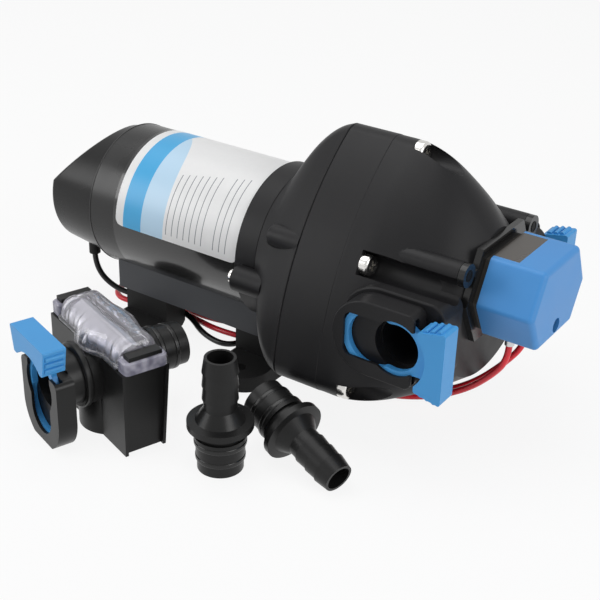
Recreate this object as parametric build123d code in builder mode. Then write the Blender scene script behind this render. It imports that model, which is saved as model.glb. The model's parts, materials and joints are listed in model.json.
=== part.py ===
from build123d import *
from math import atan2, cos, pi, radians, sin, sqrt, tan
import os

# Caravan water pump: a three-chamber diaphragm pump on a round motor, with the
# strainer and the two hose fittings that plug into its ports lying beside it.
# X runs along the motor axis towards the pressure switch, Z is up, and the
# origin is the middle of the four mounting holes at the underside of the feet.

# Overall layout
axis_height = 53.6
can_radius = 31.75
can_length = 67.4
end_bell_length = 13.3
cap_length = 27.1
collar_rear_x = 28.5
collar_length = 7.5
flare_length = 23.5
chamber_length = 20.5
dome_length = 46.0
running_gap = 0.05
seat_gap = 0.1
body_gap = 0.3
cut_over = 1.0

# Head outline, a rounded triangle of constant width, and how it shrinks along the dome and the flare
corner_reach = 48.6
corner_radius = 12.5
dome_shares = ((0.0, 1.0), (0.25, 0.985), (0.5, 0.925), (0.73, 0.835), (1.0, 0.64))
flare_shares = (
    (0.0, 0.04, 2.66),
    (0.22, 0.34, 2.32),
    (0.51, 0.66, 1.66),
    (0.78, 0.87, 1.27),
    (1.0, 1.0, 1.0),
)

# Screws
head_screw_plane = 32.4
head_screw_radius = 1.9
screw_head_radius = 3.9
screw_head_height = 2.6
cross_width = 0.9
corner_screw_reach = 54.4
side_screw_reach = 41.3
screw_recess_radius = 5.0
screw_tail = 8.0
side_boss_radius = 4.6
side_boss_length = 15.5
side_boss_taper = 4.0
bolt_head_x = 31.0
bolt_reach_y = 36.2
bolt_drop = 3.0
bolt_boss_radius = 5.4
bolt_boss_length = 15.0
bolt_head_radius = 2.8
bolt_head_height = 2.4
foot_screw_radius = 1.9
foot_screw_head = 3.0
foot_screw_cap = 1.4
foot_screw_depth = 10.0
foot_screw_y = 15.5

# Motor
can_wall = 1.6
magnet_thickness = 5.0
magnet_length = 44.0
magnet_split = 12.0
air_gap = 0.8
stack_length = 36.0
stack_middle_x = -4.0
slot_count = 12
slot_width = 2.6
slot_depth = 9.0
winding_length = 8.0
winding_outer = 19.5
winding_inner = 6.0
shaft_radius = 4.0
bearing_radius = 11.0
bearing_width = 7.0
bearing_bore_wall = 1.6
commutator_radius = 9.0
commutator_length = 11.0
commutator_bars = 12
bar_gap = 0.6
brush_width = 5.0
brush_height = 7.0
brush_length = 9.0
brush_box_wall = 1.2
card_thickness = 1.8
bush_radius = 7.0
bush_length = 8.0
bell_wall = 3.0
bell_face = 3.0

# Rear cap and label
cap_front_radius = 30.4
cap_rear_radius = 27.6
cap_edge = 1.6
cap_wedge_start = 8.6
cap_wedge_slope = 47.0
cap_cavity_radius = 23.0
cap_cavity_depth = 7.0
grommet_radius = 2.6
grommet_length = 8.0
grommet_bottom_z = 24.5
lead_exit_x = -67.5
lead_exit_y = 14.0
label_length = 64.6
label_rear_margin = 1.8
label_thickness = 0.15

# Wobble drive
tilt = 3.5
pivot_x = 46.0
hub_radius = 8.0
hub_length = 9.0
cam_bearing_radius = 13.0
wobble_radius = 17.0
wobble_thickness = 7.0
arm_width = 11.0
piston_reach = 21.0
piston_neck_radius = 6.0
piston_disc_radius = 9.5
piston_disc_thickness = 2.0
piston_post = 2.0
piston_stem = 4.0
piston_groove = 5.2

# Diaphragm and valve deck
diaphragm_thickness = 1.2
diaphragm_radius = 38.0
diaphragm_hole_room = 1.3
deck_radius = 36.0
chamber_radius = 12.6
chamber_depth = 8.5
valve_deck_thickness = 5.0
valve_disc_radius = 5.2
valve_disc_thickness = 1.2
valve_stem_radius = 1.4
valve_port_radius = 1.5
valve_port_reach = 3.6
valve_port_count = 5
inlet_valve_reach = 25.0
outlet_hole_reach = 11.0
outlet_hole_spread = 12.0
outlet_valve_radius = 12.8
outlet_chamber_radius = 13.2
inlet_chamber_inner = 16.0
inlet_chamber_outer = 33.0
manifold_depth = 10.0
passage_radius = 5.0
inlet_channel_y = 22.0
outlet_channel_y = 9.0
switch_passage_radius = 2.2

# Ports with their slide clips
port_x = 113.7
port_bore_radius = 9.5
port_mouth_radius = 10.1
port_mouth_depth = 4.2
port_bottom_y = 25.0
port_rim_y = 48.7
port_face_y = 52.5
port_block_half = 15.2
port_block_reach = 26.7
port_block_end = 7.5
port_block_corner = 3.0
port_shoulder_y = 46.5
port_shoulder_half = 16.6
port_shoulder_reach = 11.6
port_root_y = 26.0
lip_thickness = 1.2
slot_half = 13.6
slot_reach = 23.2
window_radius = 10.8
window_half = 8.2
window_end = 20.7
window_mouth_half = 9.5
clip_travel = 9.4
clip_thickness = 2.2
clip_wide_radius = 10.7
clip_narrow_radius = 9.3
clip_wide_wall = 2.6
clip_narrow_wall = 2.7
clip_gap = 0.2
clip_neck_half = 9.0
handle_gap = 10.8
handle_length = 11.1
handle_thickness = 9.3
handle_overlap = 2.0
handle_half_inner = 12.2
handle_half_outer = 14.5
handle_arc_radius = 14.6
handle_edge = 0.9
grip_radius = 1.0
grip_pitch = 2.7

# Pressure switch, with its outline as corners across the motor axis
cover_top_half = 15.0
cover_wide_half = 23.5
cover_top_z = 27.2
cover_wide_z = 10.7
cover_bottom_z = -4.8
switch_plate_thickness = 2.5
switch_plate_margin = 3.2
cover_depth = 22.5
cover_stand_off = 2.2
cover_wall = 1.5
cover_front_wall = 2.0
cover_edge = 2.2
cover_notch_depth = 10.2
notch_half = 12.5
switch_body_depth = 12.4
adjust_hole_radius = 2.9
adjust_screw_radius = 2.9
adjust_screw_length = 5.0
adjust_slot_width = 1.1
plunger_radius = 5.0
plunger_disc = 3.0
plunger_length = 10.0
plunger_stem_radius = 2.2
spring_radius = 3.4
spring_wire = 0.9
spring_length = 13.6
switch_bore_radius = 5.2
spring_bore_radius = 3.7
spring_tower_radius = 4.8
switch_bore_depth = 8.0
microswitch_size_y = 20.0
microswitch_size_z = 10.0
microswitch_depth = 6.4
microswitch_z = 16.0
lug_reach_y = 27.0
lug_lift = 23.8
lug_radius = 4.6
lug_hole_radius = 1.5
lug_screw_head = 3.0
lug_screw_length = 11.0
lug_length = 24.0
terminal_x = 139.0
terminal_y = 8.0
terminal_width = 6.3
terminal_thickness = 0.8
terminal_bottom_z = 47.5
crimp_radius = 1.9
crimp_length = 3.5

# Base bracket and rubber feet
foot_pitch_x = 61.6
foot_pitch_y = 66.0
foot_length = 23.0
foot_pad_height = 7.0
foot_inner_y = 8.0
foot_toe = 2.0
foot_outer_y = 41.5
foot_hole_radius = 2.6
bracket_half_width = 21.0
bracket_sheet = 2.0
bracket_drop = 2.5
bracket_rear_x = -46.5
bracket_front_x = 34.6
bracket_foot_z = 16.4
foot_block_x = 35.0

# Hose fittings, with stations measured from the plug end
fitting_bore = 4.9
plug_length = 18.2
plug_tip_radius = 8.9
groove_radius = 7.9
groove_width = 2.3
groove_inner_s = 4.2
groove_outer_s = 10.6
land_radius = 9.4
collar_radius = 10.0
collar_top_s = 14.5
neck_radius = 9.0
flange_radius = 12.7
flange_top_s = 20.7
cone_radius = 9.5
cone_s = 26.0
fillet_lift = 0.4
mouth_s = 47.4
barb_radius = 6.9
barb_root_radius = 6.4
barb_mouth_radius = 6.0
barb_first = 6.0
barb_pitch = 5.6
barb_count = 3
outer_ring_radius = 10.1
inner_ring_radius = 9.6
ring_edge = 0.7
upright_x = 60.9
upright_y = -85.8
lying_x = 61.9
lying_y = -60.5
lying_azimuth = -16.3

# Strainer
strainer_x = 29.0
strainer_y = -103.4
strainer_turn = -20.0
strainer_length = 60.0
strainer_width = 20.0
strainer_foot_width = 17.5
strainer_height = 35.4
strainer_wall = 3.0
belly_w = -28.0
belly_t = 9.0
belly_radius = 13.0
strainer_port_height = 24.6
strainer_face_reach = 21.0
strainer_block_depth = 7.8
strainer_bore_bottom = 33.5
strainer_passage_radius = 6.0
strainer_passage_length = 4.0
strainer_boss_radius = 12.4
strainer_plug_reach = 40.5
lid_rim = 1.0
lid_thickness = 1.6
lid_rise = 8.6
lid_wall = 1.8
lid_taper = 15.0
tab_width = 14.0
tab_thickness = 4.5
tab_height = 42.5
gasket_section = 0.6
gasket_inset = 0.6
screen_radius = 8.0
screen_wall = 1.0
screen_height = 24.0
screen_slot = 1.8
screen_rows = 4
screen_row_pitch = 5.6
screen_columns = 8

# Leads, as corner points of their routes from the cap and the switch to their ends
lead_radius = 1.3
bend_share = 0.45
lead_routes = {
    "lead_black": [
        (-67.5, -14.0, 24.5),
        (-67.5, -14.0, 16.0),
        (-58.5, -10.4, 6.4),
        (-45.0, -5.8, 4.8),
        (-31.0, -5.2, 4.4),
        (-18.0, -6.2, 4.3),
        (-4.0, -13.6, 1.5),
        (11.4, -14.8, 1.5),
        (14.6, 2.0, 1.5),
        (16.6, 18.0, 1.5),
        (14.6, 34.0, 1.5),
        (10.0, 48.0, 1.5),
    ],
    "lead_red": [
        (139.0, -8.0, 44.0),
        (139.0, -8.0, 37.0),
        (132.0, -5.4, 26.4),
        (120.5, -2.4, 14.2),
        (106.0, -3.6, 5.8),
        (90.0, -8.6, 2.8),
        (74.0, -10.6, 2.7),
        (58.0, -8.2, 2.6),
        (42.0, -4.4, 2.8),
        (27.0, -4.6, 4.2),
        (13.0, -8.4, 4.3),
        (-1.0, -9.2, 4.0),
        (-15.0, -4.2, 1.7),
        (-30.0, -2.2, 1.5),
        (-45.0, -6.6, 1.5),
        (-59.0, -9.8, 1.5),
        (-67.2, 0.4, 1.5),
        (-60.0, 11.4, 1.5),
        (-46.0, 7.2, 1.5),
        (-30.0, 1.6, 1.5),
        (-13.0, 0.2, 1.5),
        (2.0, 4.6, 1.5),
        (7.6, 19.0, 1.5),
        (4.6, 34.0, 1.5),
        (-3.0, 48.0, 1.5),
    ],
    "lead_motor_red": [
        (-67.5, 14.0, 24.5),
        (-67.5, 14.0, 16.0),
        (-58.5, 10.6, 6.6),
        (-45.0, 6.6, 4.8),
        (-30.0, 5.6, 4.4),
        (-14.0, 4.4, 4.4),
        (2.0, 5.4, 4.4),
        (17.0, 5.8, 4.3),
        (31.0, 4.2, 3.4),
        (46.0, 4.0, 2.4),
        (62.0, 3.0, 2.6),
        (78.0, 1.6, 2.6),
        (93.0, 1.2, 3.4),
        (108.0, 2.2, 6.4),
        (121.0, 4.0, 14.6),
        (132.0, 6.6, 26.4),
        (139.0, 8.0, 37.0),
        (139.0, 8.0, 44.0),
    ],
}

# Values that follow from the sizes above
collar_front_x = collar_rear_x + collar_length
parting_x = collar_front_x + flare_length
crease_x = parting_x + chamber_length
face_x = crease_x + dome_length
can_rear_x = collar_rear_x - can_length
bell_rear_x = can_rear_x - end_bell_length
cap_rear_x = bell_rear_x - cap_length
screw_seat_x = parting_x + head_screw_plane
can_inner = can_radius - can_wall
magnet_inner = can_inner - magnet_thickness
stack_radius = magnet_inner - air_gap
stack_rear_x = stack_middle_x - stack_length / 2
brush_rear_x = bell_rear_x + bush_length + card_thickness
brush_middle_y = commutator_radius + brush_length / 2
commutator_rear_x = brush_rear_x + body_gap
deck_front_x = parting_x + diaphragm_thickness + chamber_depth
valve_front_x = deck_front_x + valve_deck_thickness
manifold_front_x = valve_front_x + manifold_depth
cavity_radius = deck_radius
plate_front_x = face_x + switch_plate_thickness
cover_rear_x = plate_front_x + cover_stand_off
cover_front_x = cover_rear_x + cover_depth
adjust_rear_x = plate_front_x + switch_body_depth - adjust_screw_length
terminal_top_z = axis_height + cover_bottom_z + cover_wall
lead_exit_ys = (-lead_exit_y, lead_exit_y)
bracket_inner = bracket_half_width - bracket_sheet
foot_round_y = foot_outer_y - foot_length / 2
foot_xs = (-foot_pitch_x / 2, foot_pitch_x / 2)
lying_tilt = atan2(flange_radius - barb_mouth_radius, mouth_s - flange_top_s)
lying_z = flange_top_s * sin(lying_tilt) + flange_radius * cos(lying_tilt)

os.makedirs("parts", exist_ok=True)


def save(piece, name):
    """Label a finished piece and write it as its own STEP file."""
    piece.label = name
    export_step(piece, f"parts/{name}.step")
    print(name, round(piece.volume), "mm3")


def section(x):
    """Sketch plane across the motor axis at station x: local X is Y, local Y is up."""
    return Plane(origin=(x, 0, axis_height), x_dir=(0, 1, 0), z_dir=(1, 0, 0))


def polar(reach, angle):
    return (reach * cos(radians(angle)), reach * sin(radians(angle)))


def head_outline(reach, tip):
    """Rounded triangle of constant width: three corner arcs joined by three long side arcs."""
    side = reach * sqrt(3) + tip
    with BuildLine() as outline:
        for corner_angle in (90, 210, 330):
            CenterArc(polar(reach, corner_angle), tip, corner_angle - 30, 60)
            CenterArc(polar(reach, corner_angle + 240), side, corner_angle + 30, 60)
    make_face(outline.edges())


def outline_face(x, reach, tip):
    """Face of the head outline at station x."""
    with BuildSketch(section(x)) as face:
        head_outline(reach, tip)
    return face.sketch


def tilted(distance):
    """Plane across the tilted axis of the wobble plate, at a distance in front of its pivot."""
    lean = radians(tilt)
    return Plane(
        origin=(pivot_x + distance * cos(lean), 0, axis_height + distance * sin(lean)),
        x_dir=(0, 1, 0),
        z_dir=(cos(lean), 0, sin(lean)),
    )


def foot_align(side):
    return (Align.CENTER, Align.MIN if side > 0 else Align.MAX)


corner_angles = (90, 210, 330)
screw_places = [polar(corner_screw_reach, angle) for angle in corner_angles]
side_screw_places = [polar(side_screw_reach, angle + 60) for angle in corner_angles]
screw_places += side_screw_places
piston_places = [polar(piston_reach, angle) for angle in corner_angles]
bolt_places = [(-bolt_reach_y, -bolt_drop), (bolt_reach_y, -bolt_drop)]
lug_places = [(-lug_reach_y, lug_lift), (lug_reach_y, lug_lift)]
inlet_valve_places = [polar(inlet_valve_reach, angle) for angle in corner_angles]
inlet_hole_places = []
for place_y, place_z in inlet_valve_places:
    for hole in range(valve_port_count):
        hole_y, hole_z = polar(valve_port_reach, 360 * hole / valve_port_count)
        inlet_hole_places.append((place_y + hole_y, place_z + hole_z))
outlet_hole_places = [
    polar(outlet_hole_reach, angle + spread)
    for angle in corner_angles
    for spread in (-outlet_hole_spread, outlet_hole_spread)
]
disc_rear = wobble_thickness / 2 + piston_post + piston_stem
disc_front = disc_rear + piston_disc_thickness + piston_groove
piston_steps = [
    (disc_rear - piston_stem, piston_neck_radius, piston_stem),
    (disc_rear, piston_disc_radius, piston_disc_thickness),
    (disc_rear + piston_disc_thickness, piston_neck_radius, piston_groove),
    (disc_front, piston_disc_radius, piston_disc_thickness),
]
port_planes = [
    Plane(origin=(port_x, 0, axis_height), x_dir=(1, 0, 0), z_dir=(0, side, 0)) for side in (-1, 1)
]
grip_slope = (handle_half_outer - handle_half_inner) / handle_length
grip_places = []
for step in (1, 2, 3):
    for side in (-1, 1):
        grip_reach = step * grip_pitch
        grip_places.append((handle_gap + grip_reach, side * (handle_half_inner + grip_reach * grip_slope)))
cover_corners = [
    (-cover_top_half, cover_top_z),
    (cover_top_half, cover_top_z),
    (cover_wide_half, cover_wide_z),
    (cover_top_half, cover_bottom_z),
    (-cover_top_half, cover_bottom_z),
    (-cover_wide_half, cover_wide_z),
]
foot_top_z = bracket_foot_z + bracket_drop
foot_profile = [
    (foot_inner_y + foot_toe, 0),
    (foot_outer_y, 0),
    (foot_outer_y, foot_pad_height),
    (bracket_half_width, foot_pad_height),
    (bracket_half_width, bracket_foot_z),
    (bracket_inner, bracket_foot_z),
    (bracket_inner, foot_top_z),
    (foot_inner_y, foot_top_z),
    (foot_inner_y, foot_toe),
]
foot_places = [
    (foot_xs[0], -1, "foot_rear_near"),
    (foot_xs[0], 1, "foot_rear_far"),
    (foot_xs[1], -1, "foot_front_near"),
    (foot_xs[1], 1, "foot_front_far"),
]

# Motor can: a drawn steel tube between the end bell and the drive housing
with BuildPart() as motor_can:
    with BuildSketch(section(can_rear_x)):
        Circle(can_radius)
        Circle(can_inner, mode=Mode.SUBTRACT)
    extrude(amount=can_length)
save(motor_can.part, "motor_can")

# Rating label: a thin sheet over the upper half of the can
label_rear_x = can_rear_x + label_rear_margin
with BuildPart() as rating_label:
    with BuildSketch(section(label_rear_x)):
        Circle(can_radius + running_gap + label_thickness)
        Circle(can_radius + running_gap, mode=Mode.SUBTRACT)
        Rectangle(4 * can_radius, 2 * can_radius, align=(Align.CENTER, Align.MAX), mode=Mode.SUBTRACT)
    extrude(amount=label_length)
save(rating_label.part, "rating_label")

# End bell: the rear ring of the motor with its bearing seat and brush gear wall
with BuildPart() as end_bell:
    with BuildSketch(section(bell_rear_x)):
        Circle(can_radius)
    extrude(amount=end_bell_length)
    with BuildSketch(section(bell_rear_x + bell_face)):
        Circle(can_radius - bell_wall)
        Circle(bush_radius + bell_wall, mode=Mode.SUBTRACT)
    extrude(amount=end_bell_length, mode=Mode.SUBTRACT)
    with BuildSketch(section(bell_rear_x + bush_length)):
        Circle(bush_radius + bell_wall)
    extrude(amount=end_bell_length, mode=Mode.SUBTRACT)
    with BuildSketch(section(bell_rear_x)):
        Circle(bush_radius)
    extrude(amount=bush_length, mode=Mode.SUBTRACT)
save(end_bell.part, "end_bell")

# Rear bush carrying the tail of the shaft
with BuildPart() as rear_bush:
    with BuildSketch(section(bell_rear_x)):
        Circle(bush_radius)
        Circle(shaft_radius + running_gap, mode=Mode.SUBTRACT)
    extrude(amount=bush_length)
save(rear_bush.part, "rear_bush")

# Rear cap: a tapered cup whose top is cut away by a sloping flat
with BuildPart() as rear_cap:
    with BuildSketch(section(bell_rear_x)):
        Circle(cap_front_radius)
    with BuildSketch(section(cap_rear_x)):
        Circle(cap_rear_radius)
    loft()
    wedge_plane = Plane(
        origin=(bell_rear_x - cap_wedge_start, 0, axis_height + cap_rear_radius),
        x_dir=(0, 1, 0),
        z_dir=(-sin(radians(cap_wedge_slope)), 0, cos(radians(cap_wedge_slope))),
    )
    split(bisect_by=wedge_plane, keep=Keep.BOTTOM)
    cap_rims = rear_cap.edges().filter_by(lambda edge: edge.bounding_box().min.X < bell_rear_x - cut_over)
    fillet(cap_rims, cap_edge)
    with BuildSketch(section(bell_rear_x)):
        Circle(cap_cavity_radius)
    extrude(amount=-cap_cavity_depth, mode=Mode.SUBTRACT)
    for lead_y in lead_exit_ys:
        with BuildSketch(Plane((lead_exit_x, lead_y, grommet_bottom_z))):
            Circle(grommet_radius)
        extrude(amount=grommet_length, mode=Mode.SUBTRACT)
save(rear_cap.part, "rear_cap")

# Rubber grommets in the underside of the cap
with BuildPart() as lead_grommets:
    for lead_y in lead_exit_ys:
        with BuildSketch(Plane((lead_exit_x, lead_y, grommet_bottom_z))):
            Circle(grommet_radius)
        extrude(amount=grommet_length)
save(lead_grommets.part, "lead_grommets")

# Drive housing: collar over the can, flare to the head outline, bosses and bearing seat
with BuildPart() as drive_housing:
    loft(
        sections=[
            outline_face(collar_front_x + share * flare_length, reach * corner_reach, tip * corner_radius)
            for share, reach, tip in flare_shares
        ]
    )
    with BuildSketch(section(collar_rear_x - cut_over)):
        Circle(can_radius + can_wall)
    extrude(amount=collar_length + 2 * cut_over)
    with BuildSketch(section(bolt_head_x)):
        with Locations(*bolt_places):
            Circle(bolt_boss_radius)
    extrude(amount=bolt_boss_length)
    with BuildSketch(section(parting_x)):
        with Locations(*side_screw_places):
            Circle(side_boss_radius)
    extrude(amount=-side_boss_length, taper=side_boss_taper)
    with BuildSketch(section(collar_rear_x)):
        Circle(can_radius)
    extrude(amount=-2 * cut_over, mode=Mode.SUBTRACT)
    with BuildSketch(section(collar_rear_x)):
        Circle(bearing_radius)
    extrude(amount=bearing_width, mode=Mode.SUBTRACT)
    with BuildSketch(section(collar_rear_x)):
        Circle(shaft_radius + bearing_bore_wall)
    extrude(amount=2 * bearing_width, mode=Mode.SUBTRACT)
    with BuildSketch(section(collar_front_x + bell_wall)):
        Circle(cavity_radius - 2 * bell_wall)
    with BuildSketch(section(pivot_x)):
        Circle(cavity_radius)
    loft(mode=Mode.SUBTRACT)
    with BuildSketch(section(pivot_x)):
        Circle(cavity_radius)
    extrude(amount=parting_x - pivot_x, mode=Mode.SUBTRACT)
    with BuildSketch(section(parting_x)):
        with Locations(*screw_places):
            Circle(head_screw_radius)
    extrude(amount=-screw_tail, mode=Mode.SUBTRACT)
    with BuildSketch(section(bolt_head_x)):
        with Locations(*bolt_places):
            Circle(head_screw_radius)
    extrude(amount=bolt_boss_length, mode=Mode.SUBTRACT)
save(drive_housing.part, "drive_housing")

# Through bolts that hold the motor to the drive housing
with BuildPart() as through_bolts:
    with BuildSketch(section(bolt_head_x)):
        with Locations(*bolt_places):
            Circle(head_screw_radius)
    extrude(amount=bolt_boss_length)
    with BuildSketch(section(bolt_head_x)):
        with Locations(*bolt_places):
            Circle(bolt_head_radius)
    extrude(amount=-bolt_head_height)
save(through_bolts.part, "through_bolts")

# Front ball bearing, seen as its outer ring and the ring pressed on the shaft
with BuildPart() as front_bearing:
    with BuildSketch(section(collar_rear_x)):
        Circle(bearing_radius)
        Circle(shaft_radius + running_gap, mode=Mode.SUBTRACT)
    extrude(amount=bearing_width)
save(front_bearing.part, "front_bearing")

# Magnets inside the can
with BuildPart() as magnets:
    with BuildSketch(section(stack_middle_x - magnet_length / 2)):
        Circle(can_inner)
        Circle(magnet_inner, mode=Mode.SUBTRACT)
        Rectangle(magnet_split, 2 * can_radius, mode=Mode.SUBTRACT)
    extrude(amount=magnet_length)
save(magnets.part, "magnets")

# Rotor: the shaft, its wound stack, the commutator and the tilted hub
with BuildPart() as motor_shaft:
    with BuildSketch(section(bell_rear_x + bell_face)):
        Circle(shaft_radius)
    extrude(amount=pivot_x + hub_length / 4 - bell_rear_x - bell_face)
save(motor_shaft.part, "motor_shaft")

with BuildPart() as armature:
    with BuildSketch(section(stack_rear_x)):
        Circle(stack_radius)
        Circle(shaft_radius, mode=Mode.SUBTRACT)
        with PolarLocations(stack_radius, slot_count):
            Rectangle(2 * slot_depth, slot_width, mode=Mode.SUBTRACT)
    extrude(amount=stack_length)
save(armature.part, "armature")

with BuildPart() as windings:
    with BuildSketch(section(stack_rear_x)):
        Circle(winding_outer)
        Circle(winding_inner, mode=Mode.SUBTRACT)
    extrude(amount=-winding_length)
    with BuildSketch(section(stack_rear_x + stack_length)):
        Circle(winding_outer)
        Circle(winding_inner, mode=Mode.SUBTRACT)
    extrude(amount=winding_length)
    rims = windings.edges().filter_by(GeomType.CIRCLE)
    fillet(rims.filter_by(lambda edge: edge.radius > winding_inner + cut_over), winding_length / 4)
save(windings.part, "windings")

with BuildPart() as commutator:
    with BuildSketch(section(commutator_rear_x)):
        Circle(commutator_radius)
        Circle(shaft_radius, mode=Mode.SUBTRACT)
        with PolarLocations(commutator_radius, commutator_bars):
            Rectangle(2 * bar_gap, bar_gap, mode=Mode.SUBTRACT)
    extrude(amount=commutator_length)
save(commutator.part, "commutator")

# Brush gear: an insulating card with two boxes and their carbon brushes
with BuildPart() as brush_card:
    with BuildSketch(section(bell_rear_x + bush_length)):
        Circle(can_radius - bell_wall)
        Circle(bush_radius, mode=Mode.SUBTRACT)
    extrude(amount=card_thickness)
    with BuildSketch(section(brush_rear_x)):
        with Locations((-brush_middle_y, 0), (brush_middle_y, 0)):
            Rectangle(brush_length, brush_height + 2 * brush_box_wall)
            Rectangle(brush_length, brush_height, mode=Mode.SUBTRACT)
    extrude(amount=brush_width)
save(brush_card.part, "brush_card")

with BuildPart() as brushes:
    with BuildSketch(section(brush_rear_x)):
        with Locations((-brush_middle_y, 0), (brush_middle_y, 0)):
            Rectangle(brush_length, brush_height)
        Circle(commutator_radius + running_gap, mode=Mode.SUBTRACT)
    extrude(amount=brush_width)
save(brushes.part, "brushes")

with BuildPart() as cam_hub:
    with BuildSketch(tilted(-hub_length / 2)):
        Circle(hub_radius)
    extrude(amount=hub_length)
    with BuildSketch(section(pivot_x - hub_length)):
        Circle(shaft_radius)
    extrude(amount=hub_length * 5 / 4, mode=Mode.SUBTRACT)
save(cam_hub.part, "cam_hub")

# Wobble plate with its bearing ring and three arms, one to each piston
with BuildPart() as cam_bearing:
    with BuildSketch(tilted(-wobble_thickness / 2)):
        Circle(cam_bearing_radius)
        Circle(hub_radius + running_gap, mode=Mode.SUBTRACT)
    extrude(amount=wobble_thickness)
save(cam_bearing.part, "cam_bearing")

with BuildPart() as wobble_plate:
    with BuildSketch(tilted(-wobble_thickness / 2)):
        Circle(wobble_radius)
        with PolarLocations(piston_reach / 2, 3, start_angle=90):
            Rectangle(piston_reach, arm_width)
        with Locations(*piston_places):
            Circle(piston_neck_radius)
        Circle(cam_bearing_radius, mode=Mode.SUBTRACT)
    extrude(amount=wobble_thickness)
    with BuildSketch(tilted(wobble_thickness / 2)):
        with Locations(*piston_places):
            Circle(piston_neck_radius)
    extrude(amount=piston_post)
save(wobble_plate.part, "wobble_plate")

# Pistons: each a stem with a clamping disc on both sides of the diaphragm
for place, name in zip(piston_places, ("piston_top", "piston_left", "piston_right")):
    with BuildPart() as piston:
        for start, radius, length in piston_steps:
            with BuildSketch(tilted(start)):
                with Locations(place):
                    Circle(radius)
            extrude(amount=length)
    save(piston.part, name)

# Diaphragm: one rubber sheet with a hole for each piston
with BuildPart() as diaphragm:
    with BuildSketch(section(parting_x)):
        Circle(diaphragm_radius)
        with Locations(*piston_places):
            Circle(piston_neck_radius + diaphragm_hole_room, mode=Mode.SUBTRACT)
    extrude(amount=diaphragm_thickness)
save(diaphragm.part, "diaphragm")

# Chamber plate: three round pumping chambers in front of the diaphragm
with BuildPart() as chamber_plate:
    with BuildSketch(section(parting_x + diaphragm_thickness)):
        Circle(deck_radius)
        with Locations(*piston_places):
            Circle(chamber_radius, mode=Mode.SUBTRACT)
    extrude(amount=chamber_depth)
save(chamber_plate.part, "chamber_plate")

# Valve plate with its inlet and outlet holes, and the rubber valves on it
with BuildPart() as valve_plate:
    with BuildSketch(section(deck_front_x)):
        Circle(deck_radius)
        with Locations(*inlet_hole_places):
            Circle(valve_port_radius, mode=Mode.SUBTRACT)
        with Locations(*inlet_valve_places):
            Circle(valve_stem_radius, mode=Mode.SUBTRACT)
        with Locations(*outlet_hole_places):
            Circle(valve_port_radius, mode=Mode.SUBTRACT)
        Circle(valve_stem_radius, mode=Mode.SUBTRACT)
    extrude(amount=valve_deck_thickness)
save(valve_plate.part, "valve_plate")

with BuildPart() as inlet_valves:
    with BuildSketch(section(deck_front_x)):
        with Locations(*inlet_valve_places):
            Circle(valve_disc_radius)
    extrude(amount=-valve_disc_thickness)
    with BuildSketch(section(deck_front_x)):
        with Locations(*inlet_valve_places):
            Circle(valve_stem_radius)
    extrude(amount=valve_deck_thickness)
save(inlet_valves.part, "inlet_valves")

with BuildPart() as outlet_valve:
    with BuildSketch(section(valve_front_x)):
        Circle(outlet_valve_radius)
    extrude(amount=valve_disc_thickness)
    with BuildSketch(section(valve_front_x)):
        Circle(valve_stem_radius)
    extrude(amount=-valve_deck_thickness)
save(outlet_valve.part, "outlet_valve")


def port_block(plane, root):
    """Outer block of a port: round at its far end, with two filleted corners at the clip end."""
    middle = port_block_half - port_block_reach
    with BuildPart() as block:
        with BuildSketch(plane.offset(root)) as outline:
            with Locations((middle, 0)):
                Circle(port_block_half)
                Rectangle(port_block_end - middle, 2 * port_block_half, align=(Align.MIN, Align.CENTER))
            fillet(outline.vertices().group_by(Axis.X)[-1], port_block_corner)
        extrude(amount=port_face_y - root)
    return block.part


def port_cut(plane, bottom):
    """Everything cut from a port: plug bore in two steps, clip slot and the window in the lip."""
    over = port_block_end + cut_over
    slot_middle = slot_half - slot_reach
    with BuildPart() as cut:
        with BuildSketch(plane.offset(bottom)):
            Circle(port_bore_radius)
        extrude(amount=port_rim_y - bottom)
        with BuildSketch(plane.offset(port_rim_y - port_mouth_depth)):
            Circle(port_mouth_radius)
        extrude(amount=port_mouth_depth)
        with BuildSketch(plane.offset(port_rim_y)):
            with Locations((slot_middle, 0)):
                Circle(slot_half)
                Rectangle(over - slot_middle, 2 * slot_half, align=(Align.MIN, Align.CENTER))
        extrude(amount=port_face_y - lip_thickness - port_rim_y)
        with BuildSketch(plane.offset(port_face_y - lip_thickness)):
            Circle(window_radius)
            Rectangle(over, 2 * window_mouth_half, align=(Align.MIN, Align.CENTER))
            with Locations((window_half - window_end, 0)):
                Circle(window_half)
                Rectangle(window_end - window_half, 2 * window_half, align=(Align.MIN, Align.CENTER))
        extrude(amount=lip_thickness + cut_over)
    return cut.part


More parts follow.
